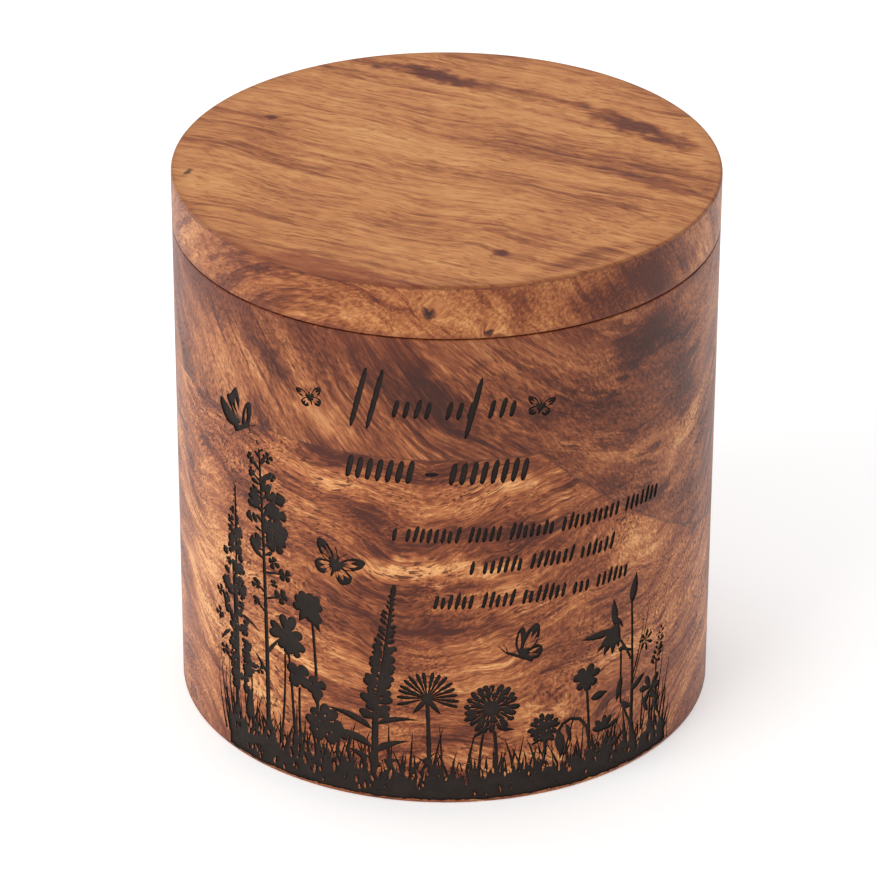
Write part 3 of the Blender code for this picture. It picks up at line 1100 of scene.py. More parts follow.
@dataclass
class EngravedWall:
    """The body's wall, drawn flat in millimetres and then rolled up.

    Attributes:
        radius: Its outer radius.
        foot: Where it starts, above the rounding of the foot.
        rim: Where it ends, under the break of the rim.
        depth: How deep the engraving is.
        steps: The flats round the whole wall.
        bands: The rows that the wall is divided into.
    """

    radius: float
    foot: float
    rim: float
    depth: float = 0.35
    steps: int = ROUND_STEPS
    bands: int = 12

    def mesh(self, drawing: Drawing) -> Mesh:
        """Build the wall as an open tube, its engraved places sunk by the depth.

        Args:
            drawing: What is burned into it.

        Returns:
            A mesh whose material numbers are those of Zone.
        """
        places, triangles, burned = self.sheet(*self.rim_of(drawing), drawing)
        count = len(places)
        pit = triangles[burned]
        sides = rim_sides(pit)
        vertices = np.concatenate([self.rolled(places, 0.0), self.rolled(places, -self.depth)])
        faces = triangles[~burned].tolist() + (pit + count).tolist()
        faces += [(a, b, b + count, a + count) for a, b in sides]
        counts = {
            Zone.SMOOTH_WALL: int((~burned).sum()), Zone.PIT_FLOOR: len(pit), Zone.PIT_SIDE: len(sides),
        }
        used = np.unique(np.concatenate([np.ravel(face) for face in faces]))
        number = np.full(2 * count, -1)
        number[used] = np.arange(len(used))
        made = bpy.data.meshes.new("engraved_wall")
        made.from_pydata(vertices[used], [], [[int(number[corner]) for corner in face] for face in faces])
        for _ in Zone:
            made.materials.append(None)
        zones = [zone.value for zone, faces_in_it in counts.items() for _ in range(faces_in_it)]
        made.polygons.foreach_set("material_index", zones)
        LOG.info("engraved wall: %d faces, %d of them burned", len(faces), len(pit) + len(sides))
        return made

    @staticmethod
    def rim_of(drawing: Drawing) -> tuple[np.ndarray, list[Pair]]:
        """What lies round everything that is burned, without what lies inside it.

        Args:
            drawing: What is burned.

        Returns:
            The points, and the edges between them.
        """
        starts = np.cumsum([0] + [len(outline) for outline in drawing.outlines])
        edges = []
        for start, outline in zip(starts, drawing.outlines):
            count = len(outline)
            edges += [(int(start + i), int(start + (i + 1) % count)) for i in range(count)]
        places, triangles, _, _ = triangulated(np.concatenate(drawing.outlines), edges)
        burned = drawing.burned(places[triangles].mean(axis=1))
        sides = rim_sides(triangles[burned])
        used = sorted({corner for side in sides for corner in side})
        number = {corner: i for i, corner in enumerate(used)}
        return places[used], [(number[a], number[b]) for a, b in sides]

    def sheet(
        self, rim_points: np.ndarray, rim_edges: list[Pair], drawing: Drawing,
    ) -> tuple[np.ndarray, np.ndarray, np.ndarray]:
        """The whole wall as flat triangles, cut along the rim of the drawing and along a grid.

        Args:
            rim_points: The points round what is burned.
            rim_edges: The edges between them.
            drawing: What is burned.

        Returns:
            The places, the triangles, and whether each triangle is burned.
        """
        half = math.pi * self.radius
        columns = np.linspace(-half, half, self.steps + 1)
        rows = np.linspace(self.foot, self.rim, self.bands + 1)
        across, up = np.meshgrid(columns, rows, indexing="ij")
        grid = np.stack([across.ravel(), up.ravel()], axis=1)
        numbers = np.arange(len(grid)).reshape(across.shape) + len(rim_points)
        upright = np.stack([numbers[:, :-1].ravel(), numbers[:, 1:].ravel()], axis=1)
        level = np.stack([numbers[:-1].ravel(), numbers[1:].ravel()], axis=1)
        edges = rim_edges + np.concatenate([upright, level]).tolist()
        places, triangles, sides, sources = triangulated(np.concatenate([rim_points, grid]), edges)
        closed = {
            (min(side), max(side)) for side, lines in zip(sides, sources)
            if any(line < len(rim_edges) for line in lines)
        }
        corners = places[triangles]
        first, second = corners[:, 1] - corners[:, 0], corners[:, 2] - corners[:, 0]
        area = np.abs(first[:, 0] * second[:, 1] - first[:, 1] * second[:, 0])
        inside = drawing.burned(corners.mean(axis=1))
        burned = np.zeros(len(triangles), bool)
        for region in self.regions(triangles, closed):
            burned[region] = area[region][inside[region]].sum() * 2 > area[region].sum()
        return places, triangles, burned

    @staticmethod
    def regions(triangles: np.ndarray, closed: set[Pair]) -> Iterable[np.ndarray]:
        """Groups of triangles that meet along sides that aren't closed.

        Args:
            triangles: The three corners of each triangle.
            closed: The sides that a group doesn't reach across, each with its lower corner first.

        Returns:
            The numbers of the triangles of each group, one group after the other.
        """
        beside: dict[Pair, list[int]] = {}
        for i, (a, b, c) in enumerate(triangles.tolist()):
            for side in ((a, b), (b, c), (c, a)):
                key = (min(side), max(side))
                if key not in closed:
                    beside.setdefault(key, []).append(i)
        links: list[list[int]] = [[] for _ in triangles]
        for pair in beside.values():
            if len(pair) == 2:
                links[pair[0]].append(pair[1])
                links[pair[1]].append(pair[0])
        seen = np.zeros(len(triangles), bool)
        for start in range(len(triangles)):
            if seen[start]:
                continue
            seen[start] = True
            region, waiting = [], [start]
            while waiting:
                one = waiting.pop()
                region.append(one)
                for other in links[one]:
                    if not seen[other]:
                        seen[other] = True
                        waiting.append(other)
            yield np.array(region)

    def rolled(self, places: np.ndarray, proud: float) -> np.ndarray:
        """Flat places rolled round the wall.

        Args:
            places: The flat places, in millimetres.
            proud: How far they stand out of the wall, in millimetres.

        Returns:
            The places in space, in metres.
        """
        angle = places[:, 0] / self.radius
        out = self.radius + proud
        return np.stack([out * np.sin(angle), -out * np.cos(angle), places[:, 1]], axis=1) * MM


def arc(centre: Point, radius: float, start: float, end: float, lengths: int = 6) -> list[Point]:
    """Points along an arc, from one angle in degrees to another."""
    turns = np.radians(np.linspace(start, end, lengths + 1))
    return [(centre[0] + radius * math.cos(turn), centre[1] + radius * math.sin(turn)) for turn in turns]


@dataclass
class Lathe:
    """Turns profiles of (radius, height) in millimetres into meshes.

    Attributes:
        steps: The flats round each mesh.
    """

    steps: int = ROUND_STEPS

    def __post_init__(self) -> None:
        """Build the turning tree once."""
        self.shape = turning_shape()

    def turned(self, name: str, profile: Sequence[Point], material: Material) -> Mesh:
        """Turn one profile. It runs outwards below, up the outside, and inwards above.

        Args:
            name: The name of the mesh.
            profile: The points of the profile.
            material: What the mesh is made of.

        Returns:
            The mesh, in metres.
        """
        line = bpy.data.meshes.new(name + "_profile")
        corners = [(x * MM, 0.0, z * MM) for x, z in profile]
        line.from_pydata(corners, [(i, i + 1) for i in range(len(corners) - 1)], [])
        return self.shape.run(name, material, line, Steps=self.steps, Profile_Points=len(profile))


def joined(meshes: Sequence[Mesh], name: str, weld: float = 0.0000006) -> Mesh:
    """Meshes welded into one where their edges meet.

    Args:
        meshes: The meshes, which are removed.
        name: The name of the new one.
        weld: How near to each other two points are welded, in metres.

    Returns:
        The new mesh.
    """
    shape = bmesh.new()
    for mesh in meshes:
        shape.from_mesh(mesh)
        bpy.data.meshes.remove(mesh)
    bmesh.ops.remove_doubles(shape, verts=shape.verts, dist=weld)
    made = bpy.data.meshes.new(name)
    shape.to_mesh(made)
    shape.free()
    return made


def mark_darkened_edges(mesh: Mesh, rings: Sequence[Point], reach: float = EDGE_DARKENING_REACH) -> None:
    """Store how close each point is to a darkened edge, as the attribute that the wood reads. The darkening
    is painted shade at the foot and at the seam between lid and body, and a darker line along the lid's top
    edge.

    Args:
        mesh: The mesh.
        rings: The edges, each as its radius and height in millimetres.
        reach: How far the darkening reaches, in millimetres.
    """
    places = np.array([tuple(vertex.co) for vertex in mesh.vertices]) / MM
    radius = np.hypot(places[:, 0], places[:, 1])
    away = np.min([np.hypot(radius - ring, places[:, 2] - height) for ring, height in rings], axis=0)
    edge_darkening = mesh.attributes.new("edge", "FLOAT", "POINT")
    edge_darkening.data.foreach_set("value", np.clip(1 - away / reach, 0.0, 1.0).astype(np.float32))


@dataclass
class Meadow:
    """The engraved meadow: grass, wildflowers and butterflies, and rows of strokes above them.

    Every place is (arc, height) in millimetres.

    Attributes:
        drawing: What the meadow is drawn into.
        ink: The material of the small flat meshes, which the drawing takes over.
        left: Where the band of grass starts.
        right: Where the band of grass ends.
        foot: How high above the ground the grass starts.
        soil: How high its closed part reaches.
    """

    drawing: Drawing
    ink: Material
    left: float = -55.4
    right: float = 58.4
    foot: float = 0.68
    soil: float = 6.6

    def __post_init__(self) -> None:
        """Build the trees for what repeats."""
        self.rings = ring_shape()
        self.spikes = spike_shape()
        self.blades = grass_shape()
        self.strokes = stroke_shape()

    def draw(self) -> None:
        """Draw everything, from the back to the front."""
        self.draw_spires()
        self.draw_left_flowers()
        self.draw_middle_flowers()
        self.draw_right_flowers()
        self.draw_grass()
        self.draw_butterflies()
        self.draw_stroke_rows()

    def ring(
        self, at: Point, petals: int, radius: float, width: float, ink: Ink = Ink.BURNED, **sizes: float,
    ) -> None:
        """Draw petals round a middle, with any further inputs of the tree by their names."""
        mesh = self.rings.run("ring", self.ink, Petals=petals, Radius=radius, Width=width, **sizes)
        self.drawing.add_mesh(mesh, at, ink)

    def spike(self, foot: Point, head: Point, florets: int, half_width: float, **sizes: float) -> None:
        """Draw florets along a spike, with any further inputs of the tree by their names."""
        sizes |= {"Foot": (*foot, 0.0), "Head": (*head, 0.0), "Florets": florets, "Half_Width": half_width}
        self.drawing.add_mesh(self.spikes.run("spike", self.ink, **sizes))

    def grass(
        self, blades: int, left: float, right: float, foot: float, height: float, **sizes: float,
    ) -> None:
        """Draw a row of blades, with any further inputs of the tree by their names."""
        sizes |= {"Blades": blades, "Left": left, "Right": right, "Foot": foot, "Height": height}
        self.drawing.add_mesh(self.blades.run("grass", self.ink, **sizes))

    def heads(self, petals: int, places: Iterable[Triple], **sizes: float) -> None:
        """Draw small petalled heads, each given as its arc, height and radius."""
        for x, z, radius in places:
            self.ring((x, z), petals, radius, 1.12 * radius, Turn=z, Seed=int(10 * z), **sizes)

    def draw_spires(self) -> None:
        """The two tall spires at the left, the broad one in the middle, and a short one at the right."""
        add = self.drawing.add
        add(
            stem((-52.6, 4.0), (-51.7, 68.0), 0.3, 1.3, 0.5),
            stem((-52.0, 17.0), (-52.6, 49.0), 0.2, 1.8, 1.5),
        )
        draws = np.random.default_rng(3)
        for low, high, middle, half in (
            (18.0, 36.0, -51.2, 2.2), (36.0, 51.0, -52.6, 2.5), (52.0, 57.0, -52.2, 1.2),
        ):
            self.heads(5, (
                (
                    middle + side * half * draws.uniform(0.6, 1.2), z + draws.uniform(-0.6, 0.6),
                    draws.uniform(1.1, 2.0),
                )
                for z in np.arange(low, high, 2.3) for side in (-1, 1)
            ), Uneven=0.24)
        self.specks((-51.2, 27.0), 8.0, 26, 0.26, 4)
        self.specks((-52.6, 43.0), 7.0, 22, 0.26, 6)
        self.spike((-52.3, 53.0), (-51.7, 68.6), 22, 1.7, Floret_Width=0.75, Tip_Share=0.35, Seed=5)
        self.heads(
            4, ((-53.7, 58.6, 1.2), (-50.9, 57.2, 1.3), (-52.8, 61.4, 1.0), (-51.2, 60.0, 0.9)),
            Uneven=0.2,
        )
        add(stem((-47.4, 4.0), (-47.3, 23.6), 0.2, 0.7, 0.5), leaf((-47.6, 9.0), 10.0, 2.6, 93, 0.0))
        for length, width, foot, turn, bend in (
            (13.0, 1.2, -50.6, 82, 0.2), (10.0, 1.1, -49.0, 102, -0.2), (13.0, 1.0, -54.0, 97, -0.15),
            (11.0, 1.4, -45.4, 74, 0.2), (9.0, 1.2, -44.0, 104, -0.2),
        ):
            add(leaf((foot, 4.0), length, width, turn, bend))
        self.heads(4, (
            (-57.9, 39.0, 1.5), (-58.4, 33.0, 1.6), (-56.6, 24.6, 1.6), (-47.4, 24.0, 2.0),
            (-44.6, 24.6, 1.3),
        ), Uneven=0.2)
        add(leaf((-50.8, 36.0), 6.0, 1.0, 6, 0.4), leaf((-54.2, 30.5), 5.6, 1.0, 215, -0.2))
        add(leaf((-53.0, 22.0), 4.6, 1.0, 150, 0.1), leaf((-50.6, 22.0), 6.0, 1.0, 24, 0.1))
        add(stem((-42.2, 4.0), (-43.8, 80.0), 0.5, 1.5, 0.6))
        self.spike(
            (-43.2, 68.0), (-43.9, 80.8), 9, 3.5, Floret_Width=0.50, Tip_Share=0.42, Uneven=0.2, Seed=9,
        )
        self.spike(
            (-42.7, 53.0), (-43.2, 70.0), 16, 4.2, Floret_Width=0.42, Tip_Share=0.9, Uneven=0.3, Seed=8,
        )
        self.heads(5, (
            (-38.4, 69.4, 2.1), (-39.6, 65.4, 3.0), (-38.0, 61.6, 2.4), (-39.2, 58.2, 2.7),
            (-45.6, 66.6, 2.1), (-46.4, 62.4, 1.7), (-45.4, 56.6, 2.2), (-41.2, 61.4, 2.6),
            (-41.0, 69.6, 1.7), (-46.1, 73.4, 1.2),
        ), Uneven=0.26)
        self.heads(4, (
            (-40.1, 53.2, 1.7), (-36.9, 51.0, 1.8), (-45.1, 46.2, 1.7), (-45.2, 41.8, 1.5),
            (-38.0, 45.4, 1.9), (-40.0, 48.0, 1.2), (-40.4, 74.2, 1.5), (-41.3, 78.6, 1.5),
            (-46.4, 77.0, 1.5),
        ), Uneven=0.24)
        for foot, head in (
            ((-42.6, 50.0), (-37.6, 51.2)), ((-42.4, 43.5), (-38.4, 45.2)), ((-42.4, 44.6), (-45.0, 46.4)),
            ((-42.3, 39.6), (-44.9, 41.8)), ((-43.4, 72.6), (-40.6, 74.0)), ((-43.4, 72.0), (-45.8, 73.4)),
        ):
            add(stem(foot, head, 0.0, 0.7, 0.5))
        add(leaf((-42.4, 29.0), 7.0, 1.0, 66, 0.2), leaf((-42.4, 24.0), 6.0, 1.0, 118, -0.2))
        add(
            stem((-15.6, 3.5), (-15.2, 24.0), 0.0, 1.9, 1.4),
            stem((-15.2, 23.0), (-11.3, 53.4), 0.3, 1.2, 0.7),
        )
        self.spike(
            (-15.4, 20.6), (-13.6, 37.0), 40, 3.7, Floret_Width=0.62, Tip_Share=0.86, Uneven=0.26,
            Open=1.35, Seed=12,
        )
        self.spike(
            (-13.6, 36.4), (-11.4, 53.0), 26, 3.0, Floret_Width=0.56, Tip_Share=0.26, Uneven=0.16,
            Seed=13,
        )
        add(oval((-11.2, 53.0), 3.6, 1.3, 82))
        add(leaf((-16.0, 17.6), 10.4, 2.0, 134, -0.52), leaf((-16.0, 13.0), 10.0, 2.3, 138, -0.48))
        add(leaf((-14.8, 19.0), 8.0, 1.7, 46, 0.66), leaf((-15.0, 12.0), 7.0, 2.0, 58, 0.6))
        add(leaf((-16.0, 9.0), 6.0, 1.8, 135, -0.3), leaf((-15.2, 8.0), 5.4, 1.8, 50, 0.4))
        add(stem((53.0, 4.0), (53.4, 24.0), 0.3, 0.8, 0.5))
        self.spike((53.0, 22.6), (55.3, 30.6), 15, 2.1, Floret_Width=0.6, Tip_Share=0.6, Seed=15)

    def draw_left_flowers(self) -> None:
        """The cluster of round and petalled heads between the tall spires and the middle one."""
        add = self.drawing.add
        add(stem((-28.8, 4.0), (-30.0, 42.0), 0.5, 0.85, 0.7))
        self.ring((-31.1, 45.4), 9, 3.9, 2.6, Uneven=0.10, Blunt=0.7, Seed=21)
        add(oval((-29.8, 43.0), 3.4, 4.6, 76), leaf((-29.4, 46.4), 5.6, 2.2, -88, 0.0))
        add(leaf((-31.4, 44.6), 4.2, 1.8, -118, 0.0), leaf((-30.4, 44.0), 5.0, 1.8, -62, 0.0))
        self.ring((-36.7, 36.3), 8, 5.1, 2.9, Turn=0.3, Uneven=0.14, Blunt=0.8, Seed=23)
        self.ring((-35.2, 33.8), 5, 3.7, 2.4, Turn=0.2, Uneven=0.2, Blunt=0.8, Seed=24)
        add(
            stem((-34.6, 4.0), (-36.2, 32.0), 0.3, 0.9, 0.6),
            stem((-39.2, 4.0), (-37.2, 31.4), 0.6, 0.75, 0.5),
        )
        self.ring((-33.6, 26.9), 4, 3.6, 3.4, Turn=0.9, Uneven=0.07, Blunt=0.5, Seed=26)
        add(stem((-32.4, 4.0), (-33.4, 24.0), -0.5, 0.8, 0.6))
        self.ring((-29.3, 25.6), 4, 2.9, 2.6, Turn=0.5, Uneven=0.1, Blunt=0.5, Seed=27)
        add(leaf((-29.2, 26.0), 5.2, 2.6, -88, 0.0))
        self.ring((-27.4, 16.4), 9, 5.2, 3.0, Turn=0.2, Uneven=0.14, Blunt=0.7, Seed=28)
        self.ring((-24.6, 15.2), 6, 3.1, 2.2, Turn=0.7, Uneven=0.2, Blunt=0.7, Seed=29)
        self.specks((-27.0, 16.4), 3.0, 8, 0.34, 30)
        add(leaf((-37.0, 5.0), 10.0, 1.3, 68, 0.2), leaf((-40.4, 5.0), 10.0, 1.3, 104, -0.2))
        add(leaf((-31.0, 5.0), 8.4, 1.4, 112, -0.15), leaf((-24.4, 5.0), 7.4, 1.4, 70, 0.2))
        for x, head_x, head_z in (
            (-57.4, -59.4, 18.5), (-56.2, -58.4, 25.0), (-55.4, -56.4, 21.0), (-54.2, -55.0, 26.0),
            (-46.6, -47.6, 18.0), (-48.6, -49.8, 22.0), (-44.6, -45.0, 16.0),
        ):
            add(stem((x + 0.9, 4.0), (head_x, head_z), -0.5, 0.8, 0.12))

    def draw_middle_flowers(self) -> None:
        """The umbel, the two round heads, and the bud that hangs from an arching stem."""
        add = self.drawing.add
        add(stem((-3.3, 3.5), (-3.8, 26.0), 0.1, 1.1, 0.9), oval((-3.8, 26.8), 2.6, 2.4, 20))
        self.ring(
            (-3.8, 26.8), 16, 6.9, 1.55, Turn=math.radians(-18), Sweep=math.radians(228), Uneven=0.045,
            Blunt=2.4,
            Seed=31,
        )
        add(leaf((-3.8, 26.8), 5.2, 1.3, 232, 0.0), leaf((-3.8, 26.8), 5.0, 1.3, -54, 0.0))
        add(stem((11.2, 3.5), (10.9, 18.0), 0.3, 1.0, 0.8), stem((7.6, 4.0), (8.6, 18.6), -0.4, 0.7, 0.5))
        globe = (10.1, 23.9)
        self.ring(globe, 21, 6.4, 2.2, Uneven=0.06, Blunt=1.6, Seed=33)
        self.ring(globe, 21, 5.2, 0.34, Ink.CLEAR, Turn=0.15, Uneven=0.10, Blunt=2.6, Seed=34)
        self.ring(globe, 15, 4.4, 1.9, Turn=0.3, Uneven=0.10, Blunt=1.6, Seed=35)
        self.ring(globe, 12, 3.5, 0.36, Ink.CLEAR, Turn=0.5, Uneven=0.12, Blunt=2.4, Seed=36)
        add(oval(globe, 4.0, 4.0))
        self.specks(globe, 4.8, 20, 0.32, 39)
        add(leaf((9.4, 19.0), 4.2, 1.1, 206, -0.2), leaf((11.4, 19.0), 4.2, 1.1, -26, -0.2))
        add(stem((22.4, 3.5), (22.3, 14.6), 0.2, 0.9, 0.7))
        self.ring((22.2, 17.0), 14, 3.9, 1.8, Uneven=0.10, Blunt=1.4, Seed=37)
        self.specks((22.2, 17.2), 2.4, 7, 0.28, 38)
        add(leaf((21.8, 14.4), 2.8, 0.9, 205, 0.0), leaf((22.6, 14.4), 2.8, 0.9, -25, 0.0))
        arch = [(33.6, 9.0), (32.8, 14.4), (31.0, 17.0), (28.7, 17.8), (26.6, 16.9), (25.4, 15.0)]
        for start, end in zip(arch, arch[1:]):
            add(stem(start, end, 0.0, 0.85, 0.85), oval(end, 0.85, 0.85, 0.0, 8))
        add(leaf((25.6, 15.6), 7.4, 2.4, -82, 0.0), leaf((27.4, 16.8), 5.6, 1.2, -66, 0.2))
        add(
            leaf((-8.4, 5.0), 10.0, 1.2, 74, 0.45), leaf((0.6, 5.0), 9.4, 1.2, 112, -0.45),
            leaf((-10.4, 6.0), 7.0, 1.6, 48, 0.7),
        )

    def draw_right_flowers(self) -> None:
        """The clover, the nodding flower, the tall bud and the small flowers beside it."""
        add = self.drawing.add
        add(stem((33.6, 3.5), (32.6, 24.0), 0.2, 0.9, 0.6))
        self.ring((32.4, 27.0), 7, 3.7, 2.5, Turn=0.3, Uneven=0.10, Blunt=0.8, Seed=41)
        add(leaf((33.6, 21.4), 4.6, 2.2, 2, -0.05))
        self.ring(
            (37.5, 12.0), 5, 3.9, 1.7, Turn=math.radians(24), Sweep=math.radians(172), Uneven=0.1,
            Blunt=0.7, Seed=42,
        )
        add(
            leaf((37.4, 4.0), 8.0, 1.6, 88, 0.1), leaf((35.4, 6.0), 7.0, 1.0, 112, 0.2),
            leaf((39.4, 5.0), 6.6, 1.2, 66, 0.2),
        )
        add(stem((45.4, 3.5), (44.7, 43.0), 0.3, 1.1, 0.6), leaf((44.7, 41.6), 7.6, 2.4, 80, 0.0))
        add(
            stem((44.8, 27.5), (41.2, 34.0), 0.3, 0.65, 0.6),
            stem((41.2, 33.4), (40.4, 38.8), 0.3, 0.7, 0.7),
        )
        add(leaf((40.0, 37.6), 7.2, 1.9, 95, 0.0), leaf((40.2, 39.8), 3.8, 1.0, -52, 0.1))
        for length, width, turn in (
            (6.6, 2.2, 246), (6.4, 2.0, 268), (6.6, 1.8, 226), (8.6, 2.0, 184), (5.4, 1.7, 288),
        ):
            add(leaf((39.8, 37.0), length, width, turn, 0.06))
        add(oval((39.2, 35.8), 4.4, 3.4, 50))
        add(stem((44.9, 29.8), (42.2, 31.2), 0.0, 0.7, 0.9), oval((42.0, 31.3), 2.0, 1.4, 20))
        add(stem((41.8, 30.6), (42.0, 17.4), 0.0, 0.6, 0.6), leaf((42.1, 24.2), 6.4, 1.7, 258, 0.0))
        add(
            stem((45.2, 10.6), (42.0, 17.8), 0.0, 0.7, 0.5), leaf((45.2, 19.0), 5.4, 1.8, 42, 0.1),
            leaf((45.0, 15.0), 4.4, 1.5, 140, 0.0),
        )
        add(
            stem((45.2, 22.0), (48.8, 36.0), 0.4, 0.5, 0.2),
            stem((45.2, 20.0), (50.6, 40.0), 0.5, 0.4, 0.14),
        )
        self.ring((49.4, 30.4), 7, 2.7, 1.0, Turn=0.4, Uneven=0.2, Seed=44)
        self.specks((49.4, 30.4), 1.6, 5, 0.26, 47)
        add(stem((50.6, 4.0), (51.5, 15.4), 0.3, 1.0, 0.6))
        self.ring((51.6, 17.2), 6, 3.7, 2.1, Turn=0.9, Uneven=0.14, Blunt=0.8, Seed=46)
        add(leaf((51.0, 11.4), 5.4, 1.4, 124, 0.2), leaf((51.6, 11.0), 5.0, 1.3, 46, 0.2))
        for x, head_x, head_z in (
            (55.0, 57.6, 14.5), (56.0, 59.0, 12.0), (54.2, 56.4, 17.5), (56.6, 59.8, 9.0),
            (53.2, 58.6, 22.0), (52.0, 56.0, 26.0),
        ):
            add(stem((x, 3.5), (head_x, head_z), 0.5, 0.9, 0.14))

    def specks(self, at: Point, reach: float, count: int, size: float, seed: int) -> None:
        """Leave pale specks unburned within a round head.

        Args:
            at: Its middle.
            reach: How far from there the specks lie.
            count: How many there are.
            size: The width of each.
            seed: The seed of their random draws.
        """
        draws = np.random.default_rng(seed)
        for _ in range(count):
            away, turn = reach * math.sqrt(draws.random()), draws.random() * 360
            place = placed([(away, 0.0)], at, turn)[0]
            self.drawing.add(oval(place, size * draws.uniform(0.8, 1.8), size, turn, 6), ink=Ink.CLEAR)

    def draw_grass(self) -> None:
        """The dark foot of the meadow, with gaps between its blades."""
        draws = np.random.default_rng(51)
        left, right = self.left, self.right
        top = [
            (x, min(self.soil, 1.6 + 1.1 * (x - left), 1.6 + 1.1 * (right - x)) + draws.uniform(-0.9, 1.3))
            for x in np.arange(left + 0.8, right - 0.4, 1.0)
        ]
        under = [
            (x, self.foot + draws.uniform(-0.05, 0.4)) for x in np.arange(left + 1.6, right - 1.0, 0.9)
        ]
        self.drawing.add(under + top[::-1])
        rows = (
            (170, left + 1.0, right - 1.2, 8.4, 0.40, 1.20, 0.24, 52),
            (120, left + 0.5, right - 0.8, 11.0, 0.35, 1.00, 0.36, 53),
            (46, left + 1.0, right - 2.0, 15.4, 0.25, 0.80, 0.34, 54),
            (30, left + 1.0, -20.0, 13.6, 0.30, 1.20, 0.25, 55),
        )
        for blades, start, end, height, uneven, width, lean, seed in rows:
            sizes = {"Uneven": uneven, "Blade_Width": width, "Lean": lean, "Seed": seed}
            self.grass(blades, start, end, self.foot + 0.4, height, **sizes)
        for _ in range(130):
            at = (draws.uniform(left + 2, right - 2), draws.uniform(self.foot + 0.5, 9.0))
            length = draws.uniform(0.9, 2.9) * (0.55 + 0.08 * at[1])
            self.drawing.add(
                leaf(at, length, 0.26 * length ** 0.6 + 0.16, draws.uniform(68, 112)), ink=Ink.CLEAR,
            )
        sizes = {"Uneven": 0.5, "Blade_Width": 0.7, "Lean": 0.4, "Seed": 57}
        self.grass(110, left + 0.6, right - 0.6, self.foot + 0.2, 7.0, **sizes)

    def draw_butterflies(self) -> None:
        """Three butterflies over the meadow, and a small one at each end of the first row."""
        Butterfly((-24.2, 57.4), 11.4, -20).spread(self.drawing)
        Butterfly((16.6, 36.6), 11.0, 4).resting(self.drawing)
        Butterfly((-50.4, 86.4), 10.8, 0).rising(self.drawing)
        Butterfly((-29.9, 96.7), 6.2, 14).spread(self.drawing)
        Butterfly((20.2, 96.8), 6.2, -12).spread(self.drawing)

    def strokes_at(
        self, count: int, left: float, foot: float, height: float, width: float, **sizes: float,
    ) -> None:
        """Draw plain strokes in a row, with any further inputs of the tree by their names."""
        sizes |= {"Strokes": count, "Left": left, "Foot": foot, "Height": height, "Width": width}
        self.drawing.add_mesh(self.strokes.run("strokes", self.ink, **sizes))

    def draw_stroke_rows(self) -> None:
        """Rows of plain leaning strokes, in groups."""
        rows = (
            (-11.2, 95.3, 4.4, 1.10, 2.30, 14, 0.16, (4, 3, 3)),
            (-21.4, 79.6, 5.7, 1.35, 2.20, 12, 0.05, (7,)),
            (1.0, 79.6, 5.7, 1.35, 2.20, 12, 0.05, (8,)),
            (-11.2, 65.5, 3.7, 0.92, 1.50, 12, 0.20, (1, 8, 5, 7, 10, 7)),
            (5.4, 57.6, 3.7, 0.92, 1.50, 12, 0.20, (1, 6, 7, 6)),
            (-2.3, 49.2, 3.7, 0.92, 1.50, 12, 0.20, (6, 5, 7, 3, 6)),
        )
        gap = 0.92
        for number, (left, foot, height, width, pitch, lean, uneven, groups) in enumerate(rows):
            x = left
            sizes = {"Pitch": pitch, "Lean": math.radians(lean), "Uneven": uneven}
            for group, strokes in enumerate(groups):
                self.strokes_at(strokes, x, foot, height, width, Seed=60 + 10 * number + group, **sizes)
                x += pitch * (strokes + gap)
        sizes = {"Pitch": 1.0, "Lean": math.radians(14), "Uneven": 0.0}
        for x, foot, height, seed in (
            (-20.6, 91.8, 15.2, 58), (-17.0, 91.8, 15.2, 56), (4.0, 90.6, 15.0, 59),
        ):
            self.strokes_at(1, x, foot, height, 1.25, Seed=seed, **sizes)
        self.drawing.add(oval((-3.0, 82.2), 3.0, 1.0, 3))


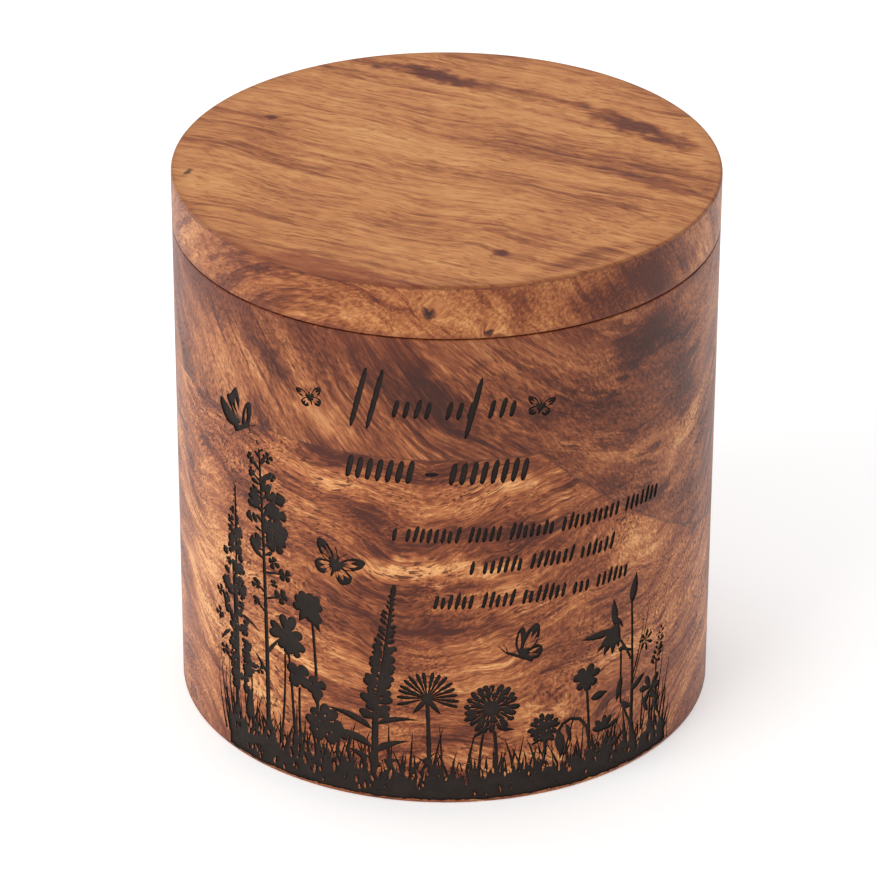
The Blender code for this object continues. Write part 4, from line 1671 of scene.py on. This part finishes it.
@dataclass
class Butterfly:
    """A generic butterfly, drawn in shares of its span.

    Attributes:
        at: Its middle.
        span: The width of its spread wings, in millimetres.
        turn: How far it is turned, in degrees.
    """

    at: Point
    span: float
    turn: float

    def lay(self, drawing: Drawing, outlines: Iterable[Sequence[Point]], ink: Ink = Ink.BURNED) -> None:
        """Put outlines in their place."""
        for outline in outlines:
            drawing.add(placed(outline, self.at, self.turn, self.span), ink=ink)

    def spread(self, drawing: Drawing) -> None:
        """Seen from above, with its wings spread.

        Args:
            drawing: What it is drawn into.
        """
        fore = smooth([
            (0.02, 0.0), (0.10, 0.17), (0.30, 0.35), (0.50, 0.37), (0.49, 0.21), (0.34, 0.05),
            (0.15, -0.03),
        ])
        hind = smooth([
            (0.02, 0.02), (0.20, 0.0), (0.37, -0.06), (0.40, -0.20), (0.28, -0.33), (0.14, -0.30),
            (0.04, -0.12),
        ])
        cells = [
            leaf((0.13, 0.12), 0.27, 0.060, 41), leaf((0.16, 0.08), 0.28, 0.075, 28),
            leaf((0.15, 0.03), 0.19, 0.055, 12), leaf((0.11, -0.04), 0.24, 0.075, -20),
            leaf((0.10, -0.08), 0.22, 0.070, -44), leaf((0.07, -0.11), 0.15, 0.05, -68),
        ]
        for mirror in (1, -1):
            self.lay(drawing, [[(mirror * x, z) for x, z in wing] for wing in (fore, hind)])
            self.lay(drawing, [[(mirror * x, z) for x, z in cell] for cell in cells], Ink.CLEAR)
            self.lay(drawing, [stem((0.0, 0.16), (mirror * 0.13, 0.36), 0.0, 0.022, 0.016)])
        self.lay(drawing, [oval((0.0, -0.04), 0.52, 0.085, 90)])

    def resting(self, drawing: Drawing) -> None:
        """Seen from the side, with its wings held up.

        Args:
            drawing: What it is drawn into.
        """
        near = smooth([
            (0.0, 0.0), (0.05, 0.32), (0.22, 0.58), (0.39, 0.64), (0.43, 0.48), (0.35, 0.22), (0.16, 0.0),
        ])
        far = smooth([(-0.02, 0.0), (-0.10, 0.26), (-0.04, 0.52), (0.06, 0.64), (0.13, 0.52), (0.12, 0.20)])
        hind = smooth([
            (0.0, -0.02), (0.24, 0.17), (0.42, 0.13), (0.45, -0.03), (0.34, -0.15), (0.14, -0.14),
        ])
        self.lay(drawing, (far, near, hind))
        self.lay(drawing, (
            leaf((0.07, 0.12), 0.42, 0.075, 63), leaf((0.12, 0.12), 0.42, 0.085, 54),
            leaf((0.17, 0.12), 0.30, 0.07, 44), leaf((-0.03, 0.14), 0.38, 0.07, 84),
            leaf((0.17, 0.02), 0.22, 0.06, 16), leaf((0.15, -0.03), 0.21, 0.06, -8),
        ), Ink.CLEAR)
        self.lay(drawing, (
            stem((0.24, -0.17), (-0.30, 0.12), 0.0, 0.10, 0.055),
            stem((-0.29, 0.11), (-0.44, 0.30), -0.01, 0.022, 0.016),
            stem((-0.27, 0.13), (-0.34, 0.32), 0.01, 0.022, 0.016),
        ))

    def rising(self, drawing: Drawing) -> None:
        """Seen from behind one side as it rises, with its wings apart and its head to the right.

        Args:
            drawing: What it is drawn into.
        """
        far = smooth([
            (0.14, -0.24), (0.16, 0.04), (0.24, 0.26), (0.35, 0.36), (0.43, 0.29), (0.41, 0.06),
            (0.32, -0.20),
        ])
        fore = smooth([
            (0.04, -0.24), (-0.22, 0.04), (-0.34, 0.24), (-0.22, 0.33), (-0.12, 0.46), (-0.02, 0.54),
            (0.07, 0.34), (0.10, -0.04),
        ])
        hind = smooth([
            (0.06, -0.32), (-0.26, -0.36), (-0.47, -0.20), (-0.57, 0.02), (-0.53, 0.14), (-0.38, 0.10),
            (-0.10, -0.10),
        ])
        self.lay(drawing, (far, fore, hind))
        self.lay(drawing, (
            leaf((0.08, -0.18), 0.50, 0.075, 108), leaf((0.11, -0.18), 0.46, 0.070, 95),
            leaf((0.02, -0.16), 0.34, 0.050, 124), leaf((0.24, -0.14), 0.34, 0.055, 84),
        ), Ink.CLEAR)
        self.lay(drawing, (
            stem((-0.10, -0.42), (0.36, -0.16), 0.0, 0.13, 0.07),
            stem((0.34, -0.16), (0.52, -0.10), 0.0, 0.025, 0.018),
            stem((0.33, -0.18), (0.38, -0.32), 0.0, 0.025, 0.018),
        ))


LOWER_BOARD = Board(
    grain=(1.0, 0.02, 0.05), layers=(0.0, -0.36, 0.93), offset=(31.0, 12.0, 7.0),
    tones=((74, 27, 11), (114, 53, 25), (149, 80, 43), (186, 115, 66), (230, 168, 108)),
    wave=(13.0, 2.2), contrast=0.88, speckle=1.15,
    marks=(
        # The first three are paler bands across the front, brightened further by the figure's shimmer
        # painted in as sheen.
        Mark((-6, -59, 58), (34, 14, 4.6), (1, 0, 0.02), 0.34),
        Mark((-24, -54, 74.5), (13, 14, 6), (1, 0, 0.1), 0.12),
        Mark((17, -57, 77.5), (12, 14, 4.5), (1, 0, -0.25), 0.16),
        Mark((-26, -54, 38), (15, 14, 4), (1, 0, -0.25), 0.12),
        Mark((23, -55, 31), (17, 14, 4), (0.95, 0, 0.22), 0.06),
        Mark((46, -38, 58), (10, 16, 5), (0.8, 0.4, 0.2), 0.05),
        # These two are tall pale bands at the far left and the far right: painted reflection of the white
        # surroundings on the grazing sides.
        Mark((-53, -28, 40), (15, 26, 42), (0.5, -0.8, 0), 0.15, ragged=4),
        Mark((57, -18, 42), (12, 18, 40), (0.3, 0.9, 0), 0.11, ragged=4),
        Mark((0, -60, 44.5), (26, 14, 4.6), (1, 0, 0.02), -0.17),
        Mark((12, -58, 67.5), (22, 14, 4.2), (1, 0, 0.08), -0.16),
        Mark((4, -60, 18.5), (18, 14, 5.5), (0.93, 0, 0.35), -0.20, ragged=3),
        Mark((44, -41, 27), (12, 14, 5), (0.85, 0.4, 0.35), -0.13),
        Mark((-24, -54.5, 83.5), (13, 12, 2.6), (0.98, 0.1, -0.1), -0.20),
        Mark((10, -58.5, 83.6), (20, 12, 2.4), (1, 0, 0), -0.10),
    ),
)
UPPER_BOARD = Board(
    grain=(0.72, 0.0, -0.69), layers=(0.57, -0.57, 0.60), offset=(-45.0, 20.0, 60.0),
    tones=((60, 22, 9), (94, 41, 20), (133, 70, 38), (172, 104, 61), (208, 145, 94)),
    wave=(6.0, 0.7), contrast=0.74, fibre_contrast=0.62, speckle=0.75,
    marks=(
        # Tall pale patch at the far left: painted reflection of the white surroundings on the grazing side.
        Mark((-48, -36, 94), (18, 30, 22), (0.7, -0.6, -0.5), 0.13, ragged=4),
        Mark((-24, -55, 91), (17, 14, 4), (0.75, 0.2, -0.62), 0.15),
        Mark((-36, -48, 102), (15, 16, 3.2), (0.72, -0.2, -0.66), -0.16),
        Mark((-8, -59.5, 104), (22, 16, 9), (0.72, 0, -0.69), -0.26),
        Mark((42, -42, 106.5), (17, 20, 6.5), (0.75, 0.6, 0.12), -0.26, ragged=3.5),
        Mark((50, -32, 90), (12, 18, 7), (0.5, 0.8, 0.3), -0.10, ragged=3),
        Mark((52, -28, 78), (10, 16, 3), (0.45, 0.8, 0.4), 0.14),
    ),
)
LID_BOARD = Board(
    grain=(0.906, -0.423, 0.0), layers=(0.366, 0.785, 0.50), offset=(12.0, -33.0, 24.0),
    tones=((92, 36, 14), (146, 80, 38), (188, 121, 67), (206, 144, 85), (228, 173, 113)),
    wave=(5.0, 0.8), contrast=0.45, fibre_contrast=0.50, fineness=0.66, speckle=0.45,
    marks=(
        Mark((-1, 45.5, 126), (17, 4.4, 8), (0.83, -0.56, 0), -0.36, ragged=1.4),
        Mark((-16, 52.5, 126), (9, 2.4, 8), (0.9, -0.43, 0), -0.20, ragged=1.2),
        Mark((20, 35, 126), (24, 4, 8), (0.88, -0.47, 0), -0.16),
        Mark((42, 18.5, 126), (25, 5, 8), (0.74, -0.67, 0), -0.30, ragged=2),
        Mark((44, -9, 126), (24, 3.6, 8), (0.84, -0.55, 0), -0.13),
        Mark((-22, -53.5, 126.5), (38, 6, 8), (0.86, -0.51, 0), -0.11, 0.48, 0, 1.2, (152, 72, 34)),
        Mark((30, -46, 126.5), (20, 4, 8), (0.80, 0.60, 0), -0.14, ragged=1.5),
        Mark((11.3, -44, 126), (2.8, 2.4, 4), (0.9, -0.4, 0), -0.26, bulge=1.2, ragged=0.8),
        Mark((-56.2, -4.8, 126), (1, 3.2, 4), (0.9, -0.4, 0), -0.1, 0.9, ragged=0.8),
        Mark((-38.8, 23.9, 126), (2.6, 1.8, 4), (0.9, -0.4, 0), -0.28, bulge=0.8, ragged=0.8),
        Mark((-14, 10, 126), (34, 12, 8), (0.92, -0.38, 0), 0.06),
    ),
)
LID_SIDE = Board(
    grain=(0.70, -0.62, 0.30), layers=(0.62, 0.45, 0.60), offset=(-12.0, 31.0, -40.0),
    tones=((80, 29, 10), (122, 59, 27), (164, 96, 51), (196, 130, 76), (224, 170, 112)),
    wave=(5.0, 0.5), contrast=0.62, fibre_contrast=0.60, fineness=1.0, speckle=0.45,
    marks=(
        Mark((-3.7, -60, 120.4), (2.4, 4, 1.6), (0.9, 0, -0.4), -0.2, 1, 3, 0.7),
        Mark((8.6, -59.5, 115.6), (1.4, 4, 0.9), (0.9, 0, 0.4), -0.2, 0.85, 1.5, 0.5),
        Mark((-26, -54, 117), (14, 14, 7), (0.9, -0.42, 0), 0, bulge=-5),
        Mark((-12, -59, 121.5), (13, 10, 1.3), (0.95, -0.1, -0.28), -0.13, ragged=0.6),
        Mark((-36, -48, 123.5), (18, 12, 1.2), (0.8, -0.6, 0.04), -0.12, ragged=0.6),
        Mark((-24, -55, 118.6), (14, 10, 2.4), (0.9, -0.42, -0.14), 0.09, ragged=1),
        # Pale patch at the far left of the lid's side: painted reflection of the white surroundings on the
        # grazing side.
        Mark((-54, -26, 119), (16, 20, 8), (0.4, -0.9, 0), 0.12, ragged=3),
        Mark((15, -58, 119.5), (4, 10, 8), (1, 0, 0.2), -0.12, ragged=1),
        Mark((42, -44, 119), (26, 20, 14), (0.7, 0.7, 0), -0.26, ragged=3),
    ),
)
LID_EDGE = WoodChange((((0.0, 0.0, -1.0), -125.95),))
BODY_JOINT = WoodChange((((0.0, 0.0, 1.0), 85.5), ((1.0, 0.0, 1.0), 105.6 / math.sqrt(2))))


@dataclass
class UrnBody:
    """The hollow turned body with the meadow burned into its wall. Sizes in millimetres.

    Attributes:
        radius: The outer radius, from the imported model.
        height: The height of the rim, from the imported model.
        wall: How thick the wall is.
        floor: How thick the base is.
        fillet: The rounding between the chamber's wall and its floor.
        foot_rounding: The rounding of the outer edge at the foot.
        rim_break: The roundings of the rim's two edges.
    """

    radius: float
    height: float
    wall: float = 9.5
    floor: float = 10.0
    fillet: float = 4.0
    foot_rounding: float = 0.5
    rim_break: float = 0.25

    def build(self, lathe: Lathe) -> Object:
        """Build the body as one closed mesh and dress it.

        Args:
            lathe: What turns its foot and its chamber.

        Returns:
            The body.
        """
        charred = CharredWood().material()
        wood = OiledWood("oiled_acacia_body", (LOWER_BOARD, UPPER_BOARD), (BODY_JOINT,)).material()
        drawing = Drawing()
        Meadow(drawing, charred).draw()
        wall = EngravedWall(self.radius, self.foot_rounding, self.height - self.rim_break)
        meshes = [wall.mesh(drawing), *self.turned_parts(lathe, wood)]
        for mesh in meshes[1:]:
            mesh.materials.clear()
            for _ in Zone:
                mesh.materials.append(None)
            mesh.polygons.foreach_set("material_index", [Zone.TURNED.value] * len(mesh.polygons))
        mesh = joined(meshes, "engraved_body")
        self.shade(mesh)
        bore = self.radius - self.wall
        # The foot's edge and the rim's edges are darkened: painted shade at the floor and at the seam under
        # the lid.
        mark_darkened_edges(mesh, ((self.radius, 0.1), (self.radius, self.height), (bore, self.height)))
        zones = np.zeros(len(mesh.polygons), np.int32)
        mesh.polygons.foreach_get("material_index", zones)
        mesh.materials.clear()
        mesh.materials.append(wood)
        mesh.materials.append(charred)
        burned = np.isin(zones, (Zone.PIT_FLOOR.value, Zone.PIT_SIDE.value))
        mesh.polygons.foreach_set("material_index", burned.astype(np.int32))
        return finished("engraved_body", mesh, BODY_NODE)

    def turned_parts(self, lathe: Lathe, wood: Material) -> list[Mesh]:
        """Everything but the outside of the wall.

        Args:
            lathe: What turns them.
            wood: What they are made of.

        Returns:
            The foot, and the rim with the chamber.
        """
        bore = self.radius - self.wall
        small = self.rim_break
        foot = [(0.0, 0.0), (self.radius - 12.0, 0.0), (self.radius - self.foot_rounding - 1.0, 0.0)]
        foot += arc((self.radius - self.foot_rounding, self.foot_rounding), self.foot_rounding, -90, 0)
        chamber = arc((self.radius - small, self.height - small), small, 0, 90, 3)
        chamber += [(self.radius - 1.2, self.height), (bore + 1.2, self.height)]
        chamber += arc((bore + small, self.height - small), small, 90, 180, 3)
        chamber += [
            (bore, self.height - 1.2), (bore, self.height / 2), (bore, self.floor + self.fillet + 1.0),
        ]
        chamber += arc((bore - self.fillet, self.floor + self.fillet), self.fillet, 0, -90)
        chamber += [(bore - self.fillet - 1.0, self.floor), (bore / 2, self.floor), (0.0, self.floor)]
        return [lathe.turned("foot", foot, wood), lathe.turned("chamber", chamber, wood)]

    def shade(self, mesh: Mesh) -> None:
        """Give the wall and the pits' floors the normals of a true round.

        Args:
            mesh: The body's mesh, whose material numbers are those of Zone.
        """
        mesh.shade_smooth()
        mesh.set_sharp_from_angle(angle=SHARP_ANGLE)
        places = np.array([tuple(vertex.co) for vertex in mesh.vertices])
        normals = np.array([tuple(corner.vector) for corner in mesh.corner_normals])
        loops = np.array([loop.vertex_index for loop in mesh.loops])
        corners = [face.loop_total for face in mesh.polygons]
        zones = np.repeat([face.material_index for face in mesh.polygons], corners)
        flat = np.repeat([tuple(face.normal) for face in mesh.polygons], corners, axis=0)
        out = places[loops] * (1.0, 1.0, 0.0)
        length = np.linalg.norm(out, axis=1, keepdims=True)
        radial = out / np.maximum(length, 1e-9)
        on_wall = (length[:, 0] > (self.radius - 0.001) * MM) & (np.abs(flat[:, 2]) < 0.5)
        is_round = (zones <= Zone.PIT_FLOOR.value) | ((zones == Zone.TURNED.value) & on_wall)
        normals = np.where(is_round[:, None], radial, normals)
        normals = np.where((zones == Zone.PIT_SIDE.value)[:, None], flat, normals)
        mesh.normals_split_custom_set(normals.tolist())


@dataclass
class UrnLid:
    """The flat turned lid, with the spigot that holds it in the bore. Sizes in millimetres.

    Attributes:
        radius: Its outer radius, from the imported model.
        foot: The height of the spigot's underside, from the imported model.
        top: The height of its top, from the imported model.
        seat: The height of the disc's underside, which is just clear of the rim.
        spigot_radius: The spigot's radius.
        rounding: The rounding of its top edge.
        small_break: The rounding of the disc's lower edge.
    """

    radius: float
    foot: float
    top: float
    seat: float
    spigot_radius: float = 50.0
    rounding: float = 0.5
    small_break: float = 0.25

    def build(self, lathe: Lathe) -> Object:
        """Build the lid and dress it.

        Args:
            lathe: What turns it.

        Returns:
            The lid.
        """
        wood = OiledWood("oiled_acacia_lid", (LID_BOARD, LID_SIDE), (LID_EDGE,), edge_and_shade_share=0.6).material()
        mesh = lathe.turned("turned_lid", self.profile(), wood)
        mesh.shade_smooth()
        mesh.set_sharp_from_angle(angle=SHARP_ANGLE)
        # The top edge and the edge at the seat are darkened. At the seat this is painted shade at the seam.
        mark_darkened_edges(mesh, ((self.radius - 0.2, self.top - 0.2), (self.radius, self.seat)))
        return finished("turned_lid", mesh, LID_NODE)

    def profile(self) -> list[Point]:
        """Out under the spigot, up it, out under the disc, up the side, and in over the top.

        Returns:
            The points of the profile.
        """
        small, big = self.small_break, self.rounding
        profile = [
            (0.0, self.foot), (self.spigot_radius - 2.0, self.foot),
            (self.spigot_radius - 1.0, self.foot),
        ]
        profile += [(self.spigot_radius, self.foot + 1.0), (self.spigot_radius, self.seat)]
        profile += [(self.radius - 1.2, self.seat)]
        profile += arc((self.radius - small, self.seat + small), small, -90, 0, 3)
        profile += [(self.radius, self.seat + 1.2), (self.radius, self.top - big - 0.4)]
        profile += arc((self.radius - big, self.top - big), big, 0, 90, 8)
        profile += [
            (self.radius - big - 0.3, self.top), (self.radius - 4.0, self.top),
            (self.radius / 2, self.top),
        ]
        return profile + [(0.0, self.top)]


def finished(name: str, mesh: Mesh, node: str) -> Object:
    """Make a piece of a mesh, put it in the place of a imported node, and report it.

    Args:
        name: The piece's name.
        mesh: Its mesh.
        node: The node that it takes the place of.

    Returns:
        The piece.
    """
    mesh.name = name
    piece = bpy.data.objects.new(name, mesh)
    bpy.context.scene.collection.objects.link(piece)
    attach(piece, ROOT_BODY)
    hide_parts(node)
    LOG.info("%s: %d faces", name, len(mesh.polygons))
    return piece


@dataclass(frozen=True)
class Lamp:
    """A soft square light that faces the urn.

    Attributes:
        name: Its name.
        at: Its place, in metres.
        size: Its width, in metres.
        power: How strong it is, in watts.
        colour: The colour of its light, from 0 to 1.
    """

    name: str
    at: Triple
    size: float
    power: float
    colour: Colour = (1.0, 1.0, 1.0)

    def add(self, aim: Triple) -> None:
        """Put the light in its place.

        Args:
            aim: The point that it faces.
        """
        data = bpy.data.lights.new(self.name, "AREA")
        data.size = self.size
        data.energy = self.power
        data.color = self.colour
        lamp = bpy.data.objects.new(self.name, data)
        lamp.location = self.at
        lamp.rotation_euler = (Vector(self.at) - Vector(aim)).to_track_quat("Z", "Y").to_euler()
        bpy.context.scene.collection.objects.link(lamp)


@dataclass
class Studio:
    """The floor, the light and the camera. Sizes in metres.

    Attributes:
        distance: From the camera to the point it looks at.
        elevation: How far the camera looks down, in degrees.
        roll: How far the camera is turned about its own axis, in radians.
        focal: The focal length in pixels of the picture.
        picture: The width of the picture in pixels.
        aim: The point that the camera looks at.
        sensor: The width of the camera's sensor, in millimetres.
        floor_half: Half the width of the floor.
        world_light: How strong the even light from all round is.
        lamps: The lights.
    """

    distance: float = 1.0624
    elevation: float = 28.467
    roll: float = 0.0035
    focal: float = 4734.87
    picture: float = 876.0
    aim: Triple = (-0.00168, 0.0, 0.0585)
    sensor: float = 36.0
    floor_half: float = 4.0
    world_light: float = 0.62
    lamps: tuple[Lamp, ...] = (
        Lamp("key_light", (-0.95, -0.85, 1.05), 1.0, 11.0, (1.0, 0.985, 0.96)),
        Lamp("fill_light", (1.10, -0.70, 0.70), 0.9, 0.6, (1.0, 0.99, 0.98)),
        Lamp("top_light", (0.10, 0.35, 1.25), 0.9, 2.5),
        Lamp("left_card", (-0.95, 0.85, 0.35), 1.0, 4.0),
    )

    def build(self) -> None:
        """Set up everything round the urn."""
        self.add_floor()
        self.add_camera()
        self.add_world()
        for lamp in self.lamps:
            lamp.add(self.aim)
        LOG.info("studio: floor, camera and lights")

    def add_floor(self) -> None:
        """A wide sheet of pale paper under the urn."""
        half = self.floor_half
        corners = [(-half, -half, 0), (half, -half, 0), (half, half, 0), (-half, half, 0)]
        mesh = bpy.data.meshes.new("studio_floor")
        mesh.from_pydata(corners, [], [(0, 1, 2, 3)])
        mesh.materials.append(StudioPaper().material())
        floor = bpy.data.objects.new("studio_floor", mesh)
        bpy.context.scene.collection.objects.link(floor)

    def add_camera(self) -> None:
        """The camera, at the height and distance from which the urn is seen."""
        data = bpy.data.cameras.new("camera")
        data.sensor_width = self.sensor
        data.lens = self.focal / self.picture * data.sensor_width
        data.clip_start = 0.05
        camera = bpy.data.objects.new("camera", data)
        angle = math.radians(self.elevation)
        back = Vector((0.0, -math.cos(angle), math.sin(angle)))
        up = Vector((0.0, math.sin(angle), math.cos(angle)))
        turn = Matrix((Vector((1.0, 0.0, 0.0)), up, back)).transposed() @ Matrix.Rotation(self.roll, 3, "Z")
        camera.matrix_world = Matrix.Translation(Vector(self.aim) + back * self.distance) @ turn.to_4x4()
        bpy.context.scene.collection.objects.link(camera)
        bpy.context.scene.camera = camera

    def add_world(self) -> None:
        """Even white light from all round."""
        world = bpy.data.worlds.new("studio_world")
        world.use_nodes = True
        sky = world.node_tree.nodes["Background"]
        sky.inputs["Color"].default_value = (1.0, 1.0, 1.0, 1.0)
        sky.inputs["Strength"].default_value = self.world_light
        bpy.context.scene.world = world
        bpy.context.scene.view_settings.view_transform = "Standard"


def main() -> None:
    """Build the urn and the studio."""
    logging.basicConfig(level=logging.INFO, format="%(message)s")
    body_low, body_high = (tuple(value / MM for value in corner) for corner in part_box(BODY_NODE))
    lid_low, lid_high = (tuple(value / MM for value in corner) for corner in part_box(LID_NODE))
    Studio().build()
    lathe = Lathe()
    UrnBody(radius=body_high[0], height=body_high[2]).build(lathe)
    UrnLid(radius=lid_high[0], foot=lid_low[2], top=lid_high[2], seat=body_high[2] + SEAM).build(lathe)


if __name__ == "__main__":
    main()
